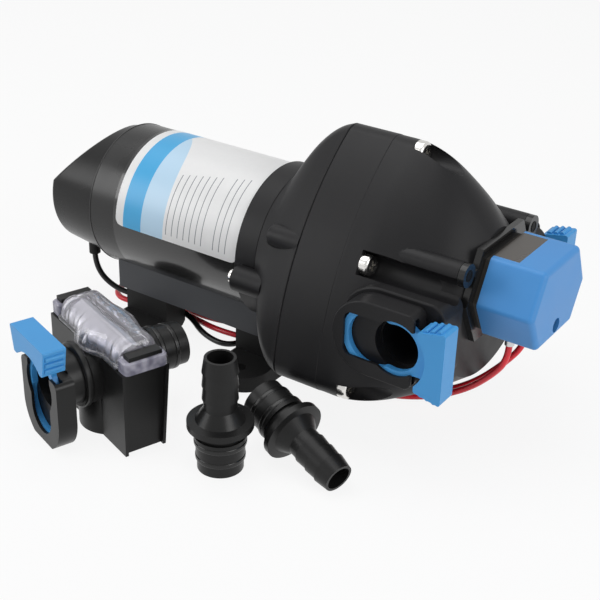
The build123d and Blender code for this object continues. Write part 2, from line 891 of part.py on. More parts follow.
def slide_clip(plane):
    """Keyhole clip plate with its ribbed pull, drawn in the port's own plane."""
    with BuildPart() as clip:
        with BuildSketch(plane.offset(port_rim_y + clip_gap)):
            with Locations((-clip_travel, 0)):
                Circle(clip_wide_radius + clip_wide_wall)
            Circle(clip_narrow_radius + clip_narrow_wall)
            Rectangle(handle_gap + handle_edge, 2 * clip_neck_half, align=(Align.MIN, Align.CENTER))
        extrude(amount=clip_thickness)
        with BuildSketch(plane.offset(port_rim_y + clip_gap - handle_overlap)):
            with BuildLine():
                Polyline(
                    (handle_gap, -handle_half_inner),
                    (handle_gap + handle_length, -handle_half_outer),
                    (handle_gap + handle_length, handle_half_outer),
                    (handle_gap, handle_half_inner),
                    close=True,
                )
            make_face()
        extrude(amount=handle_thickness)
        corners = clip.edges().filter_by(lambda edge: abs(edge.length - handle_thickness) < running_gap)
        fillet(corners, handle_edge)
        with BuildSketch(plane.offset(port_rim_y + clip_gap + clip_thickness)):
            Circle(handle_arc_radius)
        extrude(amount=handle_thickness, mode=Mode.SUBTRACT)
        with BuildSketch(plane.offset(port_rim_y + clip_gap - handle_overlap + handle_edge)):
            with Locations(*grip_places):
                Circle(grip_radius)
        extrude(amount=handle_thickness - 2 * handle_edge)
        with BuildSketch(plane.offset(port_rim_y + clip_gap)):
            with Locations((-clip_travel, 0)):
                Circle(clip_wide_radius)
                Rectangle(clip_travel, 2 * neck_radius, align=(Align.MIN, Align.CENTER))
            Circle(clip_narrow_radius)
        extrude(amount=clip_thickness, mode=Mode.SUBTRACT)
    return clip.part


# Pump head: chamber section, dome, two ports and the water ways inside
with BuildPart() as pump_head:
    with BuildSketch(section(parting_x)):
        head_outline(corner_reach, corner_radius)
    extrude(amount=chamber_length)
    loft(
        sections=[
            outline_face(crease_x + station * dome_length, share * corner_reach, share * corner_radius)
            for station, share in dome_shares
        ]
    )
    for plane in port_planes:
        add(port_block(plane, port_root_y))
        with BuildSketch(plane.offset(port_root_y)) as shoulder:
            with Locations((-port_block_reach, 0)):
                Rectangle(
                    port_block_reach + port_shoulder_reach,
                    2 * port_shoulder_half,
                    align=(Align.MIN, Align.CENTER),
                )
            fillet(shoulder.vertices(), port_block_corner)
        extrude(amount=port_shoulder_y - port_root_y)
    with BuildSketch(section(face_x)):
        with Locations(*lug_places):
            Circle(lug_radius)
    extrude(amount=-lug_length)
    with BuildSketch(section(parting_x)):
        Circle(diaphragm_radius + seat_gap)
    extrude(amount=diaphragm_thickness, mode=Mode.SUBTRACT)
    with BuildSketch(section(parting_x)):
        Circle(deck_radius + seat_gap)
    extrude(amount=valve_front_x - parting_x, mode=Mode.SUBTRACT)
    with BuildSketch(section(valve_front_x)):
        Circle(inlet_chamber_outer)
        Circle(inlet_chamber_inner, mode=Mode.SUBTRACT)
        Circle(outlet_chamber_radius)
    extrude(amount=manifold_depth, mode=Mode.SUBTRACT)
    for channel_y in (-inlet_channel_y, outlet_channel_y):
        with BuildSketch(section(manifold_front_x - cut_over)):
            with Locations((channel_y, 0)):
                Circle(passage_radius)
        extrude(amount=port_x - manifold_front_x + cut_over, mode=Mode.SUBTRACT)
    with BuildSketch(port_planes[1].offset(outlet_channel_y)):
        Circle(passage_radius)
    extrude(amount=port_bottom_y - outlet_channel_y, mode=Mode.SUBTRACT)
    with BuildSketch(section(manifold_front_x - cut_over)):
        Circle(switch_passage_radius)
    extrude(amount=face_x - manifold_front_x, mode=Mode.SUBTRACT)
    with BuildSketch(section(face_x)):
        Circle(switch_bore_radius)
    extrude(amount=-switch_bore_depth, mode=Mode.SUBTRACT)
    for plane in port_planes:
        add(port_cut(plane, port_bottom_y), mode=Mode.SUBTRACT)
    with BuildSketch(section(parting_x)):
        with Locations(*screw_places):
            Circle(head_screw_radius)
    extrude(amount=head_screw_plane, mode=Mode.SUBTRACT)
    with BuildSketch(section(screw_seat_x)):
        with Locations(*screw_places):
            Circle(screw_recess_radius)
    extrude(amount=dome_length, mode=Mode.SUBTRACT)
    with BuildSketch(section(face_x)):
        with Locations(*lug_places):
            Circle(lug_hole_radius)
    extrude(amount=-lug_screw_length, mode=Mode.SUBTRACT)
save(pump_head.part, "pump_head")

# Six pan head screws that close the head onto the drive housing
with BuildPart() as head_screws:
    with BuildSketch(section(parting_x - screw_tail)):
        with Locations(*screw_places):
            Circle(head_screw_radius)
    extrude(amount=screw_tail + head_screw_plane)
    with BuildSketch(section(screw_seat_x)):
        with Locations(*screw_places):
            Circle(screw_head_radius)
    extrude(amount=screw_head_height)
    rims = head_screws.edges().filter_by(GeomType.CIRCLE)
    fillet(rims.filter_by(lambda edge: edge.center().X > screw_seat_x + cut_over), screw_head_height / 3)
    with BuildSketch(section(screw_seat_x + screw_head_height)):
        with Locations(*screw_places):
            Rectangle(screw_head_radius, cross_width)
            Rectangle(cross_width, screw_head_radius)
    extrude(amount=-screw_head_height / 2, mode=Mode.SUBTRACT)
save(head_screws.part, "head_screws")

save(slide_clip(port_planes[0]), "inlet_clip")
save(slide_clip(port_planes[1]), "outlet_clip")


def cover_outline(growth):
    """Six-sided outline of the pressure switch cover, grown or shrunk by an even margin."""
    with BuildLine() as outline:
        Polyline(*cover_corners, close=True)
    make_face(outline.edges())
    if growth:
        offset(amount=growth, kind=Kind.INTERSECTION)


# Mounting plate of the pressure switch with two screwed ears
with BuildPart() as switch_plate:
    with BuildSketch(section(face_x)) as plate_face:
        cover_outline(switch_plate_margin)
        with Locations(*lug_places):
            Circle(lug_radius)
        with BuildLine():
            Polyline(lug_places[0], lug_places[1], (0, cover_wide_z), close=True)
        make_face()
        with Locations(*lug_places):
            Circle(lug_hole_radius, mode=Mode.SUBTRACT)
        Circle(spring_bore_radius, mode=Mode.SUBTRACT)
    extrude(amount=switch_plate_thickness)
save(switch_plate.part, "switch_plate")

with BuildPart() as switch_screws:
    with BuildSketch(section(plate_front_x)):
        with Locations(*lug_places):
            Circle(lug_hole_radius)
    extrude(amount=-lug_screw_length)
    with BuildSketch(section(plate_front_x)):
        with Locations(*lug_places):
            Circle(lug_screw_head)
    extrude(amount=screw_head_height)
save(switch_screws.part, "switch_screws")

# Switch body: black six-sided block with the exposed top under the cover notch
with BuildPart() as switch_body:
    with BuildSketch(section(plate_front_x)):
        cover_outline(-cover_wall)
    extrude(amount=switch_body_depth)
    with BuildSketch(section(cover_rear_x)):
        with Locations((0, cover_top_z - cover_wall - cut_over)):
            Rectangle(2 * notch_half, cover_wall + cut_over, align=(Align.CENTER, Align.MIN))
    extrude(amount=cover_notch_depth)
    with BuildSketch(section(plate_front_x)):
        Circle(spring_tower_radius)
    extrude(amount=switch_body_depth)
    with BuildSketch(section(plate_front_x)):
        Circle(spring_bore_radius)
    extrude(amount=switch_body_depth - adjust_screw_length, mode=Mode.SUBTRACT)
    with BuildSketch(section(plate_front_x)):
        Circle(adjust_screw_radius)
    extrude(amount=switch_body_depth, mode=Mode.SUBTRACT)
    with BuildSketch(section(plate_front_x)):
        with Locations((0, microswitch_z)):
            Rectangle(microswitch_size_y, microswitch_size_z)
    extrude(amount=microswitch_depth, mode=Mode.SUBTRACT)
save(switch_body.part, "switch_body")

with BuildPart() as microswitch:
    with BuildSketch(section(plate_front_x)):
        with Locations((0, microswitch_z)):
            Rectangle(microswitch_size_y, microswitch_size_z)
    extrude(amount=microswitch_depth)
save(microswitch.part, "microswitch")

# Sprung plunger on the water side, its spring and the adjusting screw
with BuildPart() as switch_plunger:
    with BuildSketch(section(face_x - switch_bore_depth)):
        Circle(plunger_radius)
    extrude(amount=plunger_disc)
    with BuildSketch(section(face_x - switch_bore_depth + plunger_disc)):
        Circle(plunger_stem_radius)
    extrude(amount=plunger_length)
save(switch_plunger.part, "switch_plunger")

with BuildPart() as switch_spring:
    with BuildSketch(section(face_x - switch_bore_depth + plunger_disc)):
        Circle(spring_radius)
        Circle(spring_radius - spring_wire, mode=Mode.SUBTRACT)
    extrude(amount=spring_length)
save(switch_spring.part, "switch_spring")

with BuildPart() as adjusting_screw:
    with BuildSketch(section(adjust_rear_x)):
        Circle(adjust_screw_radius - running_gap)
    extrude(amount=adjust_screw_length)
    with BuildSketch(section(adjust_rear_x + adjust_screw_length)):
        Rectangle(adjust_screw_radius, adjust_slot_width)
    extrude(amount=-adjust_slot_width, mode=Mode.SUBTRACT)
save(adjusting_screw.part, "adjusting_screw")

# Switch cover: a thin shell, notched at the top and open below for the terminals
with BuildPart() as switch_cover:
    with BuildSketch(section(cover_rear_x)):
        cover_outline(0)
    extrude(amount=cover_depth)
    fillet(switch_cover.edges().filter_by(lambda edge: edge.center().X > cover_rear_x + cut_over), cover_edge)
    with BuildSketch(section(cover_rear_x)):
        cover_outline(-cover_wall)
    extrude(amount=cover_depth - cover_front_wall, mode=Mode.SUBTRACT)
    with BuildSketch(section(cover_rear_x)):
        Rectangle(2 * notch_half, cover_top_z, align=(Align.CENTER, Align.MIN))
        Rectangle(2 * notch_half, -2 * cover_bottom_z, align=(Align.CENTER, Align.CENTER))
    extrude(amount=cover_notch_depth, mode=Mode.SUBTRACT)
    with BuildSketch(section(cover_front_x)):
        Circle(adjust_hole_radius)
    extrude(amount=-cover_front_wall, mode=Mode.SUBTRACT)
save(switch_cover.part, "switch_cover")

# Spade terminals of the switch with their crimps
with BuildPart() as switch_terminals:
    with BuildSketch(Plane((terminal_x, 0, terminal_bottom_z))):
        with Locations((0, -terminal_y), (0, terminal_y)):
            Rectangle(terminal_thickness, terminal_width)
    extrude(amount=terminal_top_z - terminal_bottom_z)
    with BuildSketch(Plane((terminal_x, 0, terminal_bottom_z))):
        with Locations((0, -terminal_y), (0, terminal_y)):
            Circle(crimp_radius)
    extrude(amount=-crimp_length)
save(switch_terminals.part, "switch_terminals")

# Base bracket: a cross plate between two webs that cradle the can
with BuildPart() as base_bracket:
    with BuildSketch(section(bracket_rear_x)):
        with Locations((0, bracket_foot_z - axis_height)):
            Rectangle(2 * bracket_half_width, axis_height - bracket_foot_z, align=(Align.CENTER, Align.MIN))
            Rectangle(2 * bracket_inner, bracket_drop, align=(Align.CENTER, Align.MIN), mode=Mode.SUBTRACT)
        with Locations((0, bracket_foot_z + bracket_drop + bracket_sheet - axis_height)):
            Rectangle(2 * bracket_inner, axis_height, align=(Align.CENTER, Align.MIN), mode=Mode.SUBTRACT)
        Circle(can_radius, mode=Mode.SUBTRACT)
    extrude(amount=bracket_front_x - bracket_rear_x)
    with BuildSketch(section(collar_rear_x - cut_over)):
        Circle(can_radius + can_wall)
    extrude(amount=collar_length, mode=Mode.SUBTRACT)
    for foot_x in foot_xs:
        with BuildSketch(Plane((foot_x, 0, bracket_foot_z))):
            with Locations((0, -foot_screw_y), (0, foot_screw_y)):
                Circle(foot_screw_radius)
        extrude(amount=2 * bracket_drop, mode=Mode.SUBTRACT)
save(base_bracket.part, "base_bracket")

# Rubber feet, each with a fixing hole in its outer pad
for foot_x, side, name in foot_places:
    with BuildPart() as foot:
        rear_face = (foot_x - side * foot_length / 2, 0, 0)
        with BuildSketch(Plane(origin=rear_face, x_dir=(0, side, 0), z_dir=(side, 0, 0))):
            with BuildLine():
                Polyline(*foot_profile, close=True)
            make_face()
        extrude(amount=foot_length)
        with BuildSketch(Plane.XY):
            with Locations((foot_x, side * foot_inner_y)):
                Rectangle(foot_length, foot_round_y - foot_inner_y, align=foot_align(side))
            with Locations((foot_x, side * foot_round_y)):
                Circle(foot_length / 2)
        extrude(amount=axis_height, mode=Mode.INTERSECT)
        with BuildSketch(Plane.XY.offset(foot_pad_height)):
            with Locations((foot_block_x, 0)):
                Rectangle(foot_length, 2 * foot_outer_y, align=(Align.MIN, Align.CENTER))
        extrude(amount=axis_height, mode=Mode.SUBTRACT)
        with BuildSketch(Plane.XY):
            with Locations((foot_x, side * foot_pitch_y / 2)):
                Circle(foot_hole_radius)
        extrude(amount=axis_height, mode=Mode.SUBTRACT)
        with BuildSketch(Plane.XY.offset(foot_top_z)):
            with Locations((foot_x, side * foot_screw_y)):
                Circle(foot_screw_radius)
        extrude(amount=-foot_screw_depth, mode=Mode.SUBTRACT)
    save(foot.part, name)

with BuildPart() as foot_screws:
    for foot_x in foot_xs:
        for side in (-1, 1):
            with BuildSketch(Plane((foot_x, side * foot_screw_y, foot_top_z - foot_screw_depth))):
                Circle(foot_screw_radius)
            extrude(amount=foot_screw_depth + bracket_sheet)
            with BuildSketch(Plane((foot_x, side * foot_screw_y, foot_top_z + bracket_sheet))):
                Circle(foot_screw_head)
            extrude(amount=foot_screw_cap)
save(foot_screws.part, "foot_screws")


def radial_plane(base):
    """Sketch plane through the base plane's normal: local X is radial, local Y runs along it."""
    return Plane(origin=base.origin, x_dir=base.x_dir, z_dir=base.x_dir.cross(base.z_dir))


def fitting_profile(start):
    """Half section of a plug and barb from its bore outwards, beginning at a given step."""
    points = [(fitting_bore, start), (fitting_bore, mouth_s)]
    points += [(barb_mouth_radius, mouth_s)]
    for ridge in range(barb_count):
        crest = mouth_s - barb_first - ridge * barb_pitch
        points += [(barb_radius, crest), (barb_root_radius, crest)]
    points += [(barb_root_radius, cone_s), (cone_radius, flange_top_s + fillet_lift)]
    points += [(flange_radius, flange_top_s), (flange_radius, plug_length)]
    return points


def plug_profile():
    """Outer half section of the plug below the flange, with its two ring grooves."""
    points = [(neck_radius, plug_length), (neck_radius, collar_top_s), (collar_radius, collar_top_s)]
    points += [(collar_radius, groove_outer_s + groove_width), (groove_radius, groove_outer_s + groove_width)]
    points += [(groove_radius, groove_outer_s), (land_radius, groove_outer_s)]
    points += [(land_radius, groove_inner_s + groove_width), (groove_radius, groove_inner_s + groove_width)]
    points += [(groove_radius, groove_inner_s), (plug_tip_radius, groove_inner_s), (plug_tip_radius, 0)]
    return points


def hose_fitting(base):
    """A whole fitting: plug, flange and ridged barb turned about the base plane's normal."""
    with BuildPart() as fitting:
        with BuildSketch(radial_plane(base)):
            with BuildLine():
                Polyline(*fitting_profile(0), *plug_profile(), close=True)
            make_face()
        revolve(axis=Axis(base.origin, base.z_dir))
    return fitting.part


def ring_pair(base):
    """The two rubber rings of a plug, seated in their grooves."""
    with BuildPart() as rings:
        with BuildSketch(radial_plane(base)) as ring_faces:
            for start, radius in ((groove_outer_s, outer_ring_radius), (groove_inner_s, inner_ring_radius)):
                with Locations((groove_radius, start)):
                    Rectangle(radius - groove_radius, groove_width, align=(Align.MIN, Align.MIN))
            fillet(ring_faces.vertices(), ring_edge)
        revolve(axis=Axis(base.origin, base.z_dir))
    return rings.part


# Hose fittings: one standing on its plug end, one lying on flange and mouth
upright_base = Plane((upright_x, upright_y, 0))
lying_base = Plane(
    origin=(lying_x, lying_y, lying_z),
    x_dir=(-sin(radians(lying_azimuth)), cos(radians(lying_azimuth)), 0),
    z_dir=(
        cos(lying_tilt) * cos(radians(lying_azimuth)),
        cos(lying_tilt) * sin(radians(lying_azimuth)),
        -sin(lying_tilt),
    ),
)
save(hose_fitting(upright_base), "fitting_upright")
save(ring_pair(upright_base), "fitting_upright_rings")
save(hose_fitting(lying_base), "fitting_lying")
save(ring_pair(lying_base), "fitting_lying_rings")

# Strainer, placed by its near bottom corner: W runs along it and T away from its clip
strainer_w = Vector(cos(radians(strainer_turn)), sin(radians(strainer_turn)), 0)
strainer_t = Vector(-sin(radians(strainer_turn)), cos(radians(strainer_turn)), 0)
strainer_corner_point = Vector(strainer_x, strainer_y, 0)


def strainer_plane(z):
    return Plane(origin=strainer_corner_point + Vector(0, 0, z), x_dir=strainer_w, z_dir=(0, 0, 1))


def across_plane(t):
    """Plane facing the clip side, on the port axis, at distance t into the strainer."""
    port_point = strainer_corner_point + strainer_w * belly_w + Vector(0, 0, strainer_port_height)
    return Plane(origin=port_point + strainer_t * t, x_dir=(0, 0, 1), z_dir=strainer_t * -1)


def tub_outline(margin, end_margin):
    """Plan outline of the tub: a rectangle with a round belly, shrunk by a margin."""
    with Locations((-strainer_length / 2, strainer_width / 2)):
        Rectangle(strainer_length - 2 * end_margin, strainer_width - 2 * margin)
    with Locations((belly_w, belly_t)):
        Circle(belly_radius - margin)


strainer_port_plane = across_plane(port_face_y - strainer_face_reach)
plug_base = Plane(origin=across_plane(strainer_plug_reach).origin, x_dir=(0, 0, 1), z_dir=strainer_t * -1)
with BuildPart() as strainer_tub:
    with BuildSketch(strainer_plane(0)):
        with Locations((-strainer_length / 2, strainer_foot_width / 2)):
            Rectangle(strainer_length, strainer_foot_width)
    with BuildSketch(strainer_plane(strainer_height)):
        with Locations((-strainer_length / 2, strainer_width / 2)):
            Rectangle(strainer_length, strainer_width)
    loft()
    with BuildSketch(strainer_plane(0)):
        with Locations((belly_w, belly_t)):
            Circle(belly_radius)
    extrude(amount=strainer_height)
    add(port_block(strainer_port_plane, port_face_y - strainer_block_depth))
    with BuildSketch(across_plane(belly_t)):
        Circle(strainer_boss_radius)
    extrude(amount=belly_t + strainer_face_reach - strainer_block_depth)
    with BuildSketch(radial_plane(plug_base)):
        with BuildLine():
            Polyline(
                (0, 0),
                (0, flange_top_s),
                (flange_radius, flange_top_s),
                (flange_radius, plug_length),
                *plug_profile(),
                close=True,
            )
        make_face()
    revolve(axis=Axis(plug_base.origin, plug_base.z_dir))
    with BuildSketch(across_plane(strainer_plug_reach - flange_top_s)):
        Circle(land_radius)
    extrude(amount=strainer_plug_reach - flange_top_s - belly_t)
    with BuildSketch(strainer_plane(strainer_height)):
        Rectangle(4 * strainer_length, 4 * strainer_length)
    extrude(amount=strainer_height, mode=Mode.SUBTRACT)
    with BuildSketch(strainer_plane(strainer_height)):
        for end_w in (-tab_thickness / 2, tab_thickness / 2 - strainer_length):
            with Locations((end_w, strainer_width / 2)):
                Rectangle(tab_thickness, tab_width)
    extrude(amount=tab_height - strainer_height)
    with BuildSketch(strainer_plane(0)):
        Rectangle(4 * strainer_length, 4 * strainer_length)
    extrude(amount=-strainer_height, mode=Mode.SUBTRACT)
    with BuildSketch(strainer_plane(strainer_wall)):
        with Locations((-strainer_length / 2, strainer_foot_width / 2)):
            Rectangle(strainer_length - 2 * tab_thickness, strainer_foot_width - 2 * strainer_wall)
        with Locations((belly_w, belly_t)):
            Circle(belly_radius - strainer_wall)
    extrude(amount=strainer_height, mode=Mode.SUBTRACT)
    with BuildSketch(plug_base):
        Circle(fitting_bore)
    extrude(amount=strainer_plug_reach - belly_t, mode=Mode.SUBTRACT)
    with BuildSketch(strainer_port_plane.offset(strainer_bore_bottom)):
        Circle(strainer_passage_radius)
    extrude(amount=-strainer_passage_length, mode=Mode.SUBTRACT)
    add(port_cut(strainer_port_plane, strainer_bore_bottom), mode=Mode.SUBTRACT)
save(strainer_tub.part, "strainer_tub")

save(slide_clip(strainer_port_plane), "strainer_clip")
save(ring_pair(plug_base), "strainer_rings")

# Gasket, clear lid and screen of the strainer
with BuildPart() as strainer_gasket:
    with BuildSketch(strainer_plane(strainer_height)):
        tub_outline(gasket_inset, tab_thickness + gasket_inset)
    extrude(amount=gasket_section)
    with BuildSketch(strainer_plane(strainer_height)):
        tub_outline(gasket_inset + gasket_section, tab_thickness + gasket_inset + gasket_section)
    extrude(amount=gasket_section, mode=Mode.SUBTRACT)
save(strainer_gasket.part, "strainer_gasket")

with BuildPart() as strainer_lid:
    lid_z = strainer_height + gasket_section
    with BuildSketch(strainer_plane(lid_z)):
        tub_outline(0, tab_thickness + seat_gap)
    extrude(amount=lid_thickness)
    with BuildSketch(strainer_plane(lid_z + lid_thickness)):
        tub_outline(lid_rim, tab_thickness + lid_rim)
    extrude(amount=lid_rise, taper=lid_taper)
    with BuildSketch(strainer_plane(lid_z)):
        tub_outline(lid_rim + lid_wall, tab_thickness + lid_rim + lid_wall)
    extrude(amount=lid_rise + lid_thickness - lid_wall, taper=lid_taper, mode=Mode.SUBTRACT)
save(strainer_lid.part, "strainer_lid")

with BuildPart() as strainer_screen:
    with BuildSketch(strainer_plane(strainer_wall)):
        with Locations((belly_w, belly_t)):
            Circle(screen_radius)
            Circle(screen_radius - screen_wall, mode=Mode.SUBTRACT)
    extrude(amount=screen_height)
    for row in range(screen_rows):
        with BuildSketch(strainer_plane(strainer_wall + screen_wall + row * screen_row_pitch)):
            with Locations((belly_w, belly_t)):
                with PolarLocations(screen_radius, screen_columns):
                    Rectangle(2 * screen_wall + screen_slot, screen_slot)
        extrude(amount=screen_row_pitch - screen_wall, mode=Mode.SUBTRACT)
save(strainer_screen.part, "strainer_screen")


def bend_radii(points):
    """One radius for each inner point, so that an arc takes under half of its shorter run."""
    radii = []
    for before, here, after in zip(points, points[1:], points[2:]):
        first = Vector(here) - Vector(before)
        second = Vector(after) - Vector(here)
        half_turn = radians(first.get_angle(second)) / 2
        radii.append(bend_share * min(first.length, second.length) / tan(half_turn))
    return radii


def lead_tube(points, name):
    """One insulated lead along straight runs joined by tangent arcs."""
    radii = bend_radii(points)
    with BuildLine() as path:
        FilletPolyline(*points, radius=radii)
    with BuildPart() as lead:
        with BuildSketch(Plane(origin=path.line @ 0, z_dir=path.line % 0)):
            Circle(lead_radius)
        sweep(path=path.line)
    runs = [(Vector(b) - Vector(a)).length for a, b in zip(points, points[1:])]
    length = sum(edge.length for edge in path.edges())
    print(name, "least radius", round(min(radii), 1), "runs", [round(run) for run in runs])
    print(name, "volume share", round(lead.part.volume / (length * pi * lead_radius**2), 3))
    save(lead.part, name)


# Leads
for name, points in lead_routes.items():
    lead_tube(points, name)
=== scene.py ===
# %% [markdown]
# # A caravan water pump with its strainer and hose fittings
# The imported solids are the fixed frame of this scene: every piece made below sits where
# they sit, in metres, with X along the motor, Z up and the table at Z = 0.

# %% Load the frame
import json
import math

import bmesh
import bpy
import numpy as np
from mathutils import Matrix, Vector


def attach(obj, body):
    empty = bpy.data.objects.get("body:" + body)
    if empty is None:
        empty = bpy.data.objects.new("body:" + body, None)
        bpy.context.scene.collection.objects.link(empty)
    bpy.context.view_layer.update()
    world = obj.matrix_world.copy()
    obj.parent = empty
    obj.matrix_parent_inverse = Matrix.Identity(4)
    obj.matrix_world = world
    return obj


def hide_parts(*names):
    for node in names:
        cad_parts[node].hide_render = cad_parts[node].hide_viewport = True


mm = 0.001


def from_mm(values):
    """Values given in millimetres, as an array in metres."""
    return np.array(values) * mm


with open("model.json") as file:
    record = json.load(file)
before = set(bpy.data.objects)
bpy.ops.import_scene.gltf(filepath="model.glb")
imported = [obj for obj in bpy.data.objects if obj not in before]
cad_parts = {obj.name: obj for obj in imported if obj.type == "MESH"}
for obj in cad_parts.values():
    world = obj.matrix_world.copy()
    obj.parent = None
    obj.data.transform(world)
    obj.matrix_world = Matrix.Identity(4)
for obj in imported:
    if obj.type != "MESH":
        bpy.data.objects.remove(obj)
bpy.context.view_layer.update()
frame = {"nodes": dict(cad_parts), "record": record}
nodes = frame["nodes"]
axis_height = 53.6 * mm
slots = {part["node"]: part["material_slot"] for part in frame["record"]["subparts"]}

# %% [markdown]
# ## The camera
# The camera stands in front of the pump, to its left and well above it, and looks down at
# about 28 degrees. Its three directions are written as one turned frame, because a camera
# looks along its own minus Z with its Y up. A 75 mm lens gives the flat, calm perspective
# of a catalogue picture.

# %% Camera
def new_object(name, data):
    """An object with this data in the scene's own collection."""
    thing = bpy.data.objects.new(name, data)
    bpy.context.scene.collection.objects.link(thing)
    return thing


focal_pixels = 1247.79
picture_pixels = 600.0
sensor_width = 36.0
eye = from_mm([299.60, -394.69, 277.85])
right_way = [0.82508564, 0.56434946, 0.02726472]
up_way = [-0.2840688, 0.37263185, 0.88343105]
back_way = [0.48840413, -0.73665133, 0.46776726]
camera_frame = np.eye(4)
camera_frame[:3] = np.column_stack([right_way, up_way, back_way, eye])
camera_data = bpy.data.cameras.new("catalogue_view")
camera_data.sensor_width = sensor_width
camera_data.lens = focal_pixels * sensor_width / picture_pixels
camera = new_object("catalogue_view", camera_data)
camera.matrix_world = Matrix(camera_frame.tolist())
bpy.context.scene.camera = camera
print("lens", round(camera_data.lens, 2), "mm, eye at", eye.round(3))

# %% [markdown]
# ## Table, world and lamps
# A black object on white is lit by large soft lamps, because a black surface shows little
# but its reflections. The table is a wide pale sheet. To the camera it gives off part of
# its own white, so it stays clean while the shadows under the pump still show.

# %% Table and world
def feed(tree, socket, value):
    """Link the value if it is another node's socket, else set it as the socket's own."""
    if isinstance(value, bpy.types.NodeSocket):
        tree.links.new(value, socket)
    else:
        socket.default_value = value


def fed(tree, node, **values):
    """The node, with its sockets set or linked by name (_ stands for a space)."""
    for label, value in values.items():
        feed(tree, node.inputs[label.replace("_", " ")], value)
    return node


def worked(tree, operation, *values):
    """A Math node on sockets or plain numbers, giving back its result."""
    node = tree.nodes.new("ShaderNodeMath")
    node.operation = operation
    for socket, value in zip(node.inputs, values):
        feed(tree, socket, value)
    return node.outputs[0]


def emptied(owner):
    """The node tree of a material or world, switched on and emptied."""
    owner.use_nodes = True
    owner.node_tree.nodes.clear()
    return owner.node_tree


def seen_directly(tree):
    """One where a ray comes from the camera, a mirror reflection or glass, else zero."""
    rays = tree.nodes.new("ShaderNodeLightPath").outputs
    either = worked(tree, "MAXIMUM", rays["Is Camera Ray"], rays["Is Glossy Ray"])
    return worked(tree, "MAXIMUM", either, rays["Is Transmission Ray"])


def blended_surface(tree, kind, share, usual, direct):
    """An output of this kind, fed by the usual shader and a share of the direct one."""
    out = tree.nodes.new(kind)
    mix = tree.nodes.new("ShaderNodeMixShader")
    tree.links.new(share, mix.inputs["Fac"])
    tree.links.new(usual.outputs[0], mix.inputs[1])
    tree.links.new(direct.outputs[0], mix.inputs[2])
    tree.links.new(mix.outputs[0], out.inputs["Surface"])


table_reach = 6.0
table_glow = 0.88
fill_strength = 0.3
table_mesh = bpy.data.meshes.new("table")
table_corners = np.array([(-1, -1, 0), (1, -1, 0), (1, 1, 0), (-1, 1, 0)]) * table_reach
table_mesh.from_pydata(table_corners.tolist(), [], [(0, 1, 2, 3)])
table = new_object("table", table_mesh)

table_paint = bpy.data.materials.new("table_paint")
tree = emptied(table_paint)
table_lit = fed(tree, tree.nodes.new("ShaderNodeBsdfDiffuse"), Color=(0.86, 0.86, 0.86, 1))
table_white = tree.nodes.new("ShaderNodeEmission")
glow = worked(tree, "MULTIPLY", seen_directly(tree), table_glow)
blended_surface(tree, "ShaderNodeOutputMaterial", glow, table_lit, table_white)
table_mesh.materials.append(table_paint)

world = bpy.data.worlds.new("studio")
bpy.context.scene.world = world
tree = emptied(world)
world_fill = tree.nodes.new("ShaderNodeBackground")
fed(tree, world_fill, Color=(0.97, 0.98, 1.0, 1), Strength=fill_strength)
world_white = tree.nodes.new("ShaderNodeBackground")
blended_surface(tree, "ShaderNodeOutputWorld", seen_directly(tree), world_fill, world_white)
bpy.context.scene.view_settings.view_transform = "Standard"
print("table", 2 * table_reach, "m wide")

# %% [markdown]
# Three soft boxes light the motor from above, its near side, and the dome with its cover.

# %% Lamps
object_middle = Vector((0.03, -0.01, 0.05))


def soft_lamp(name, place, size, power):
    """A square area lamp at a place, turned so that it shines at the middle of the object."""
    data = bpy.data.lights.new(name, "AREA")
    data.size = size
    data.energy = power
    lamp = new_object(name, data)
    lamp.location = place
    lamp.rotation_mode = "QUATERNION"
    lamp.rotation_quaternion = (object_middle - Vector(place)).to_track_quat("-Z", "Y")
    return lamp


soft_lamp("top_box", (-0.15, -0.05, 0.95), 0.8, 4.2)
soft_lamp("left_box", (-0.75, -0.75, 0.5), 0.6, 3.6)
soft_lamp("right_box", (0.95, -0.15, 0.45), 0.5, 3.4)

# %% [markdown]
# ## Surfaces from numbers
# Most pieces here are surfaces on a grid: a profile turned about an axis, or carried along
# an outline. A few helpers turn arrays of points into meshes, always as whole arrays.

# %% Mesh helpers
same_place = 1e-6


def grid_faces(rows, columns, wrap_rows=False, wrap_columns=False):
    """Four-cornered faces between neighbours of a grid; a wrapped direction joins its ends."""
    row = np.arange(rows if wrap_rows else rows - 1)[:, None]
    column = np.arange(columns if wrap_columns else columns - 1)[None, :]
    next_row = (row + 1) % rows
    next_column = (column + 1) % columns
    corners = [row * columns + column, row * columns + next_column]
    corners += [next_row * columns + next_column, next_row * columns + column]
    return np.stack(np.broadcast_arrays(*corners), -1).reshape(-1, 4)


def capped_faces(rows, columns):
    """Faces of a tube whose rows are closed rings, with one flat cap at each end."""
    last = (rows - 1) * columns
    caps = [list(range(columns)), list(range(last, last + columns))]
    return grid_faces(rows, columns, False, True).tolist() + caps


def surface(name, points, faces, sharp=40.0):
    """A smooth-shaded mesh object with its normals outwards and its doubles merged."""
    mesh = bpy.data.meshes.new(name)
    faces = faces.tolist() if isinstance(faces, np.ndarray) else faces
    mesh.from_pydata(np.asarray(points, float).reshape(-1, 3).tolist(), [], faces)
    shape = bmesh.new()
    shape.from_mesh(mesh)
    bmesh.ops.remove_doubles(shape, verts=shape.verts, dist=same_place)
    bmesh.ops.recalc_face_normals(shape, faces=shape.faces)
    shape.to_mesh(mesh)
    shape.free()
    mesh.polygons.foreach_set("use_smooth", np.ones(len(mesh.polygons), bool))
    mesh.set_sharp_from_angle(angle=math.radians(sharp))
    return new_object(name, mesh)


def mesh_points(mesh):
    """The points of a mesh as an array of rows (x, y, z)."""
    flat = np.empty(len(mesh.vertices) * 3)
    mesh.vertices.foreach_get("co", flat)
    return flat.reshape(-1, 3)


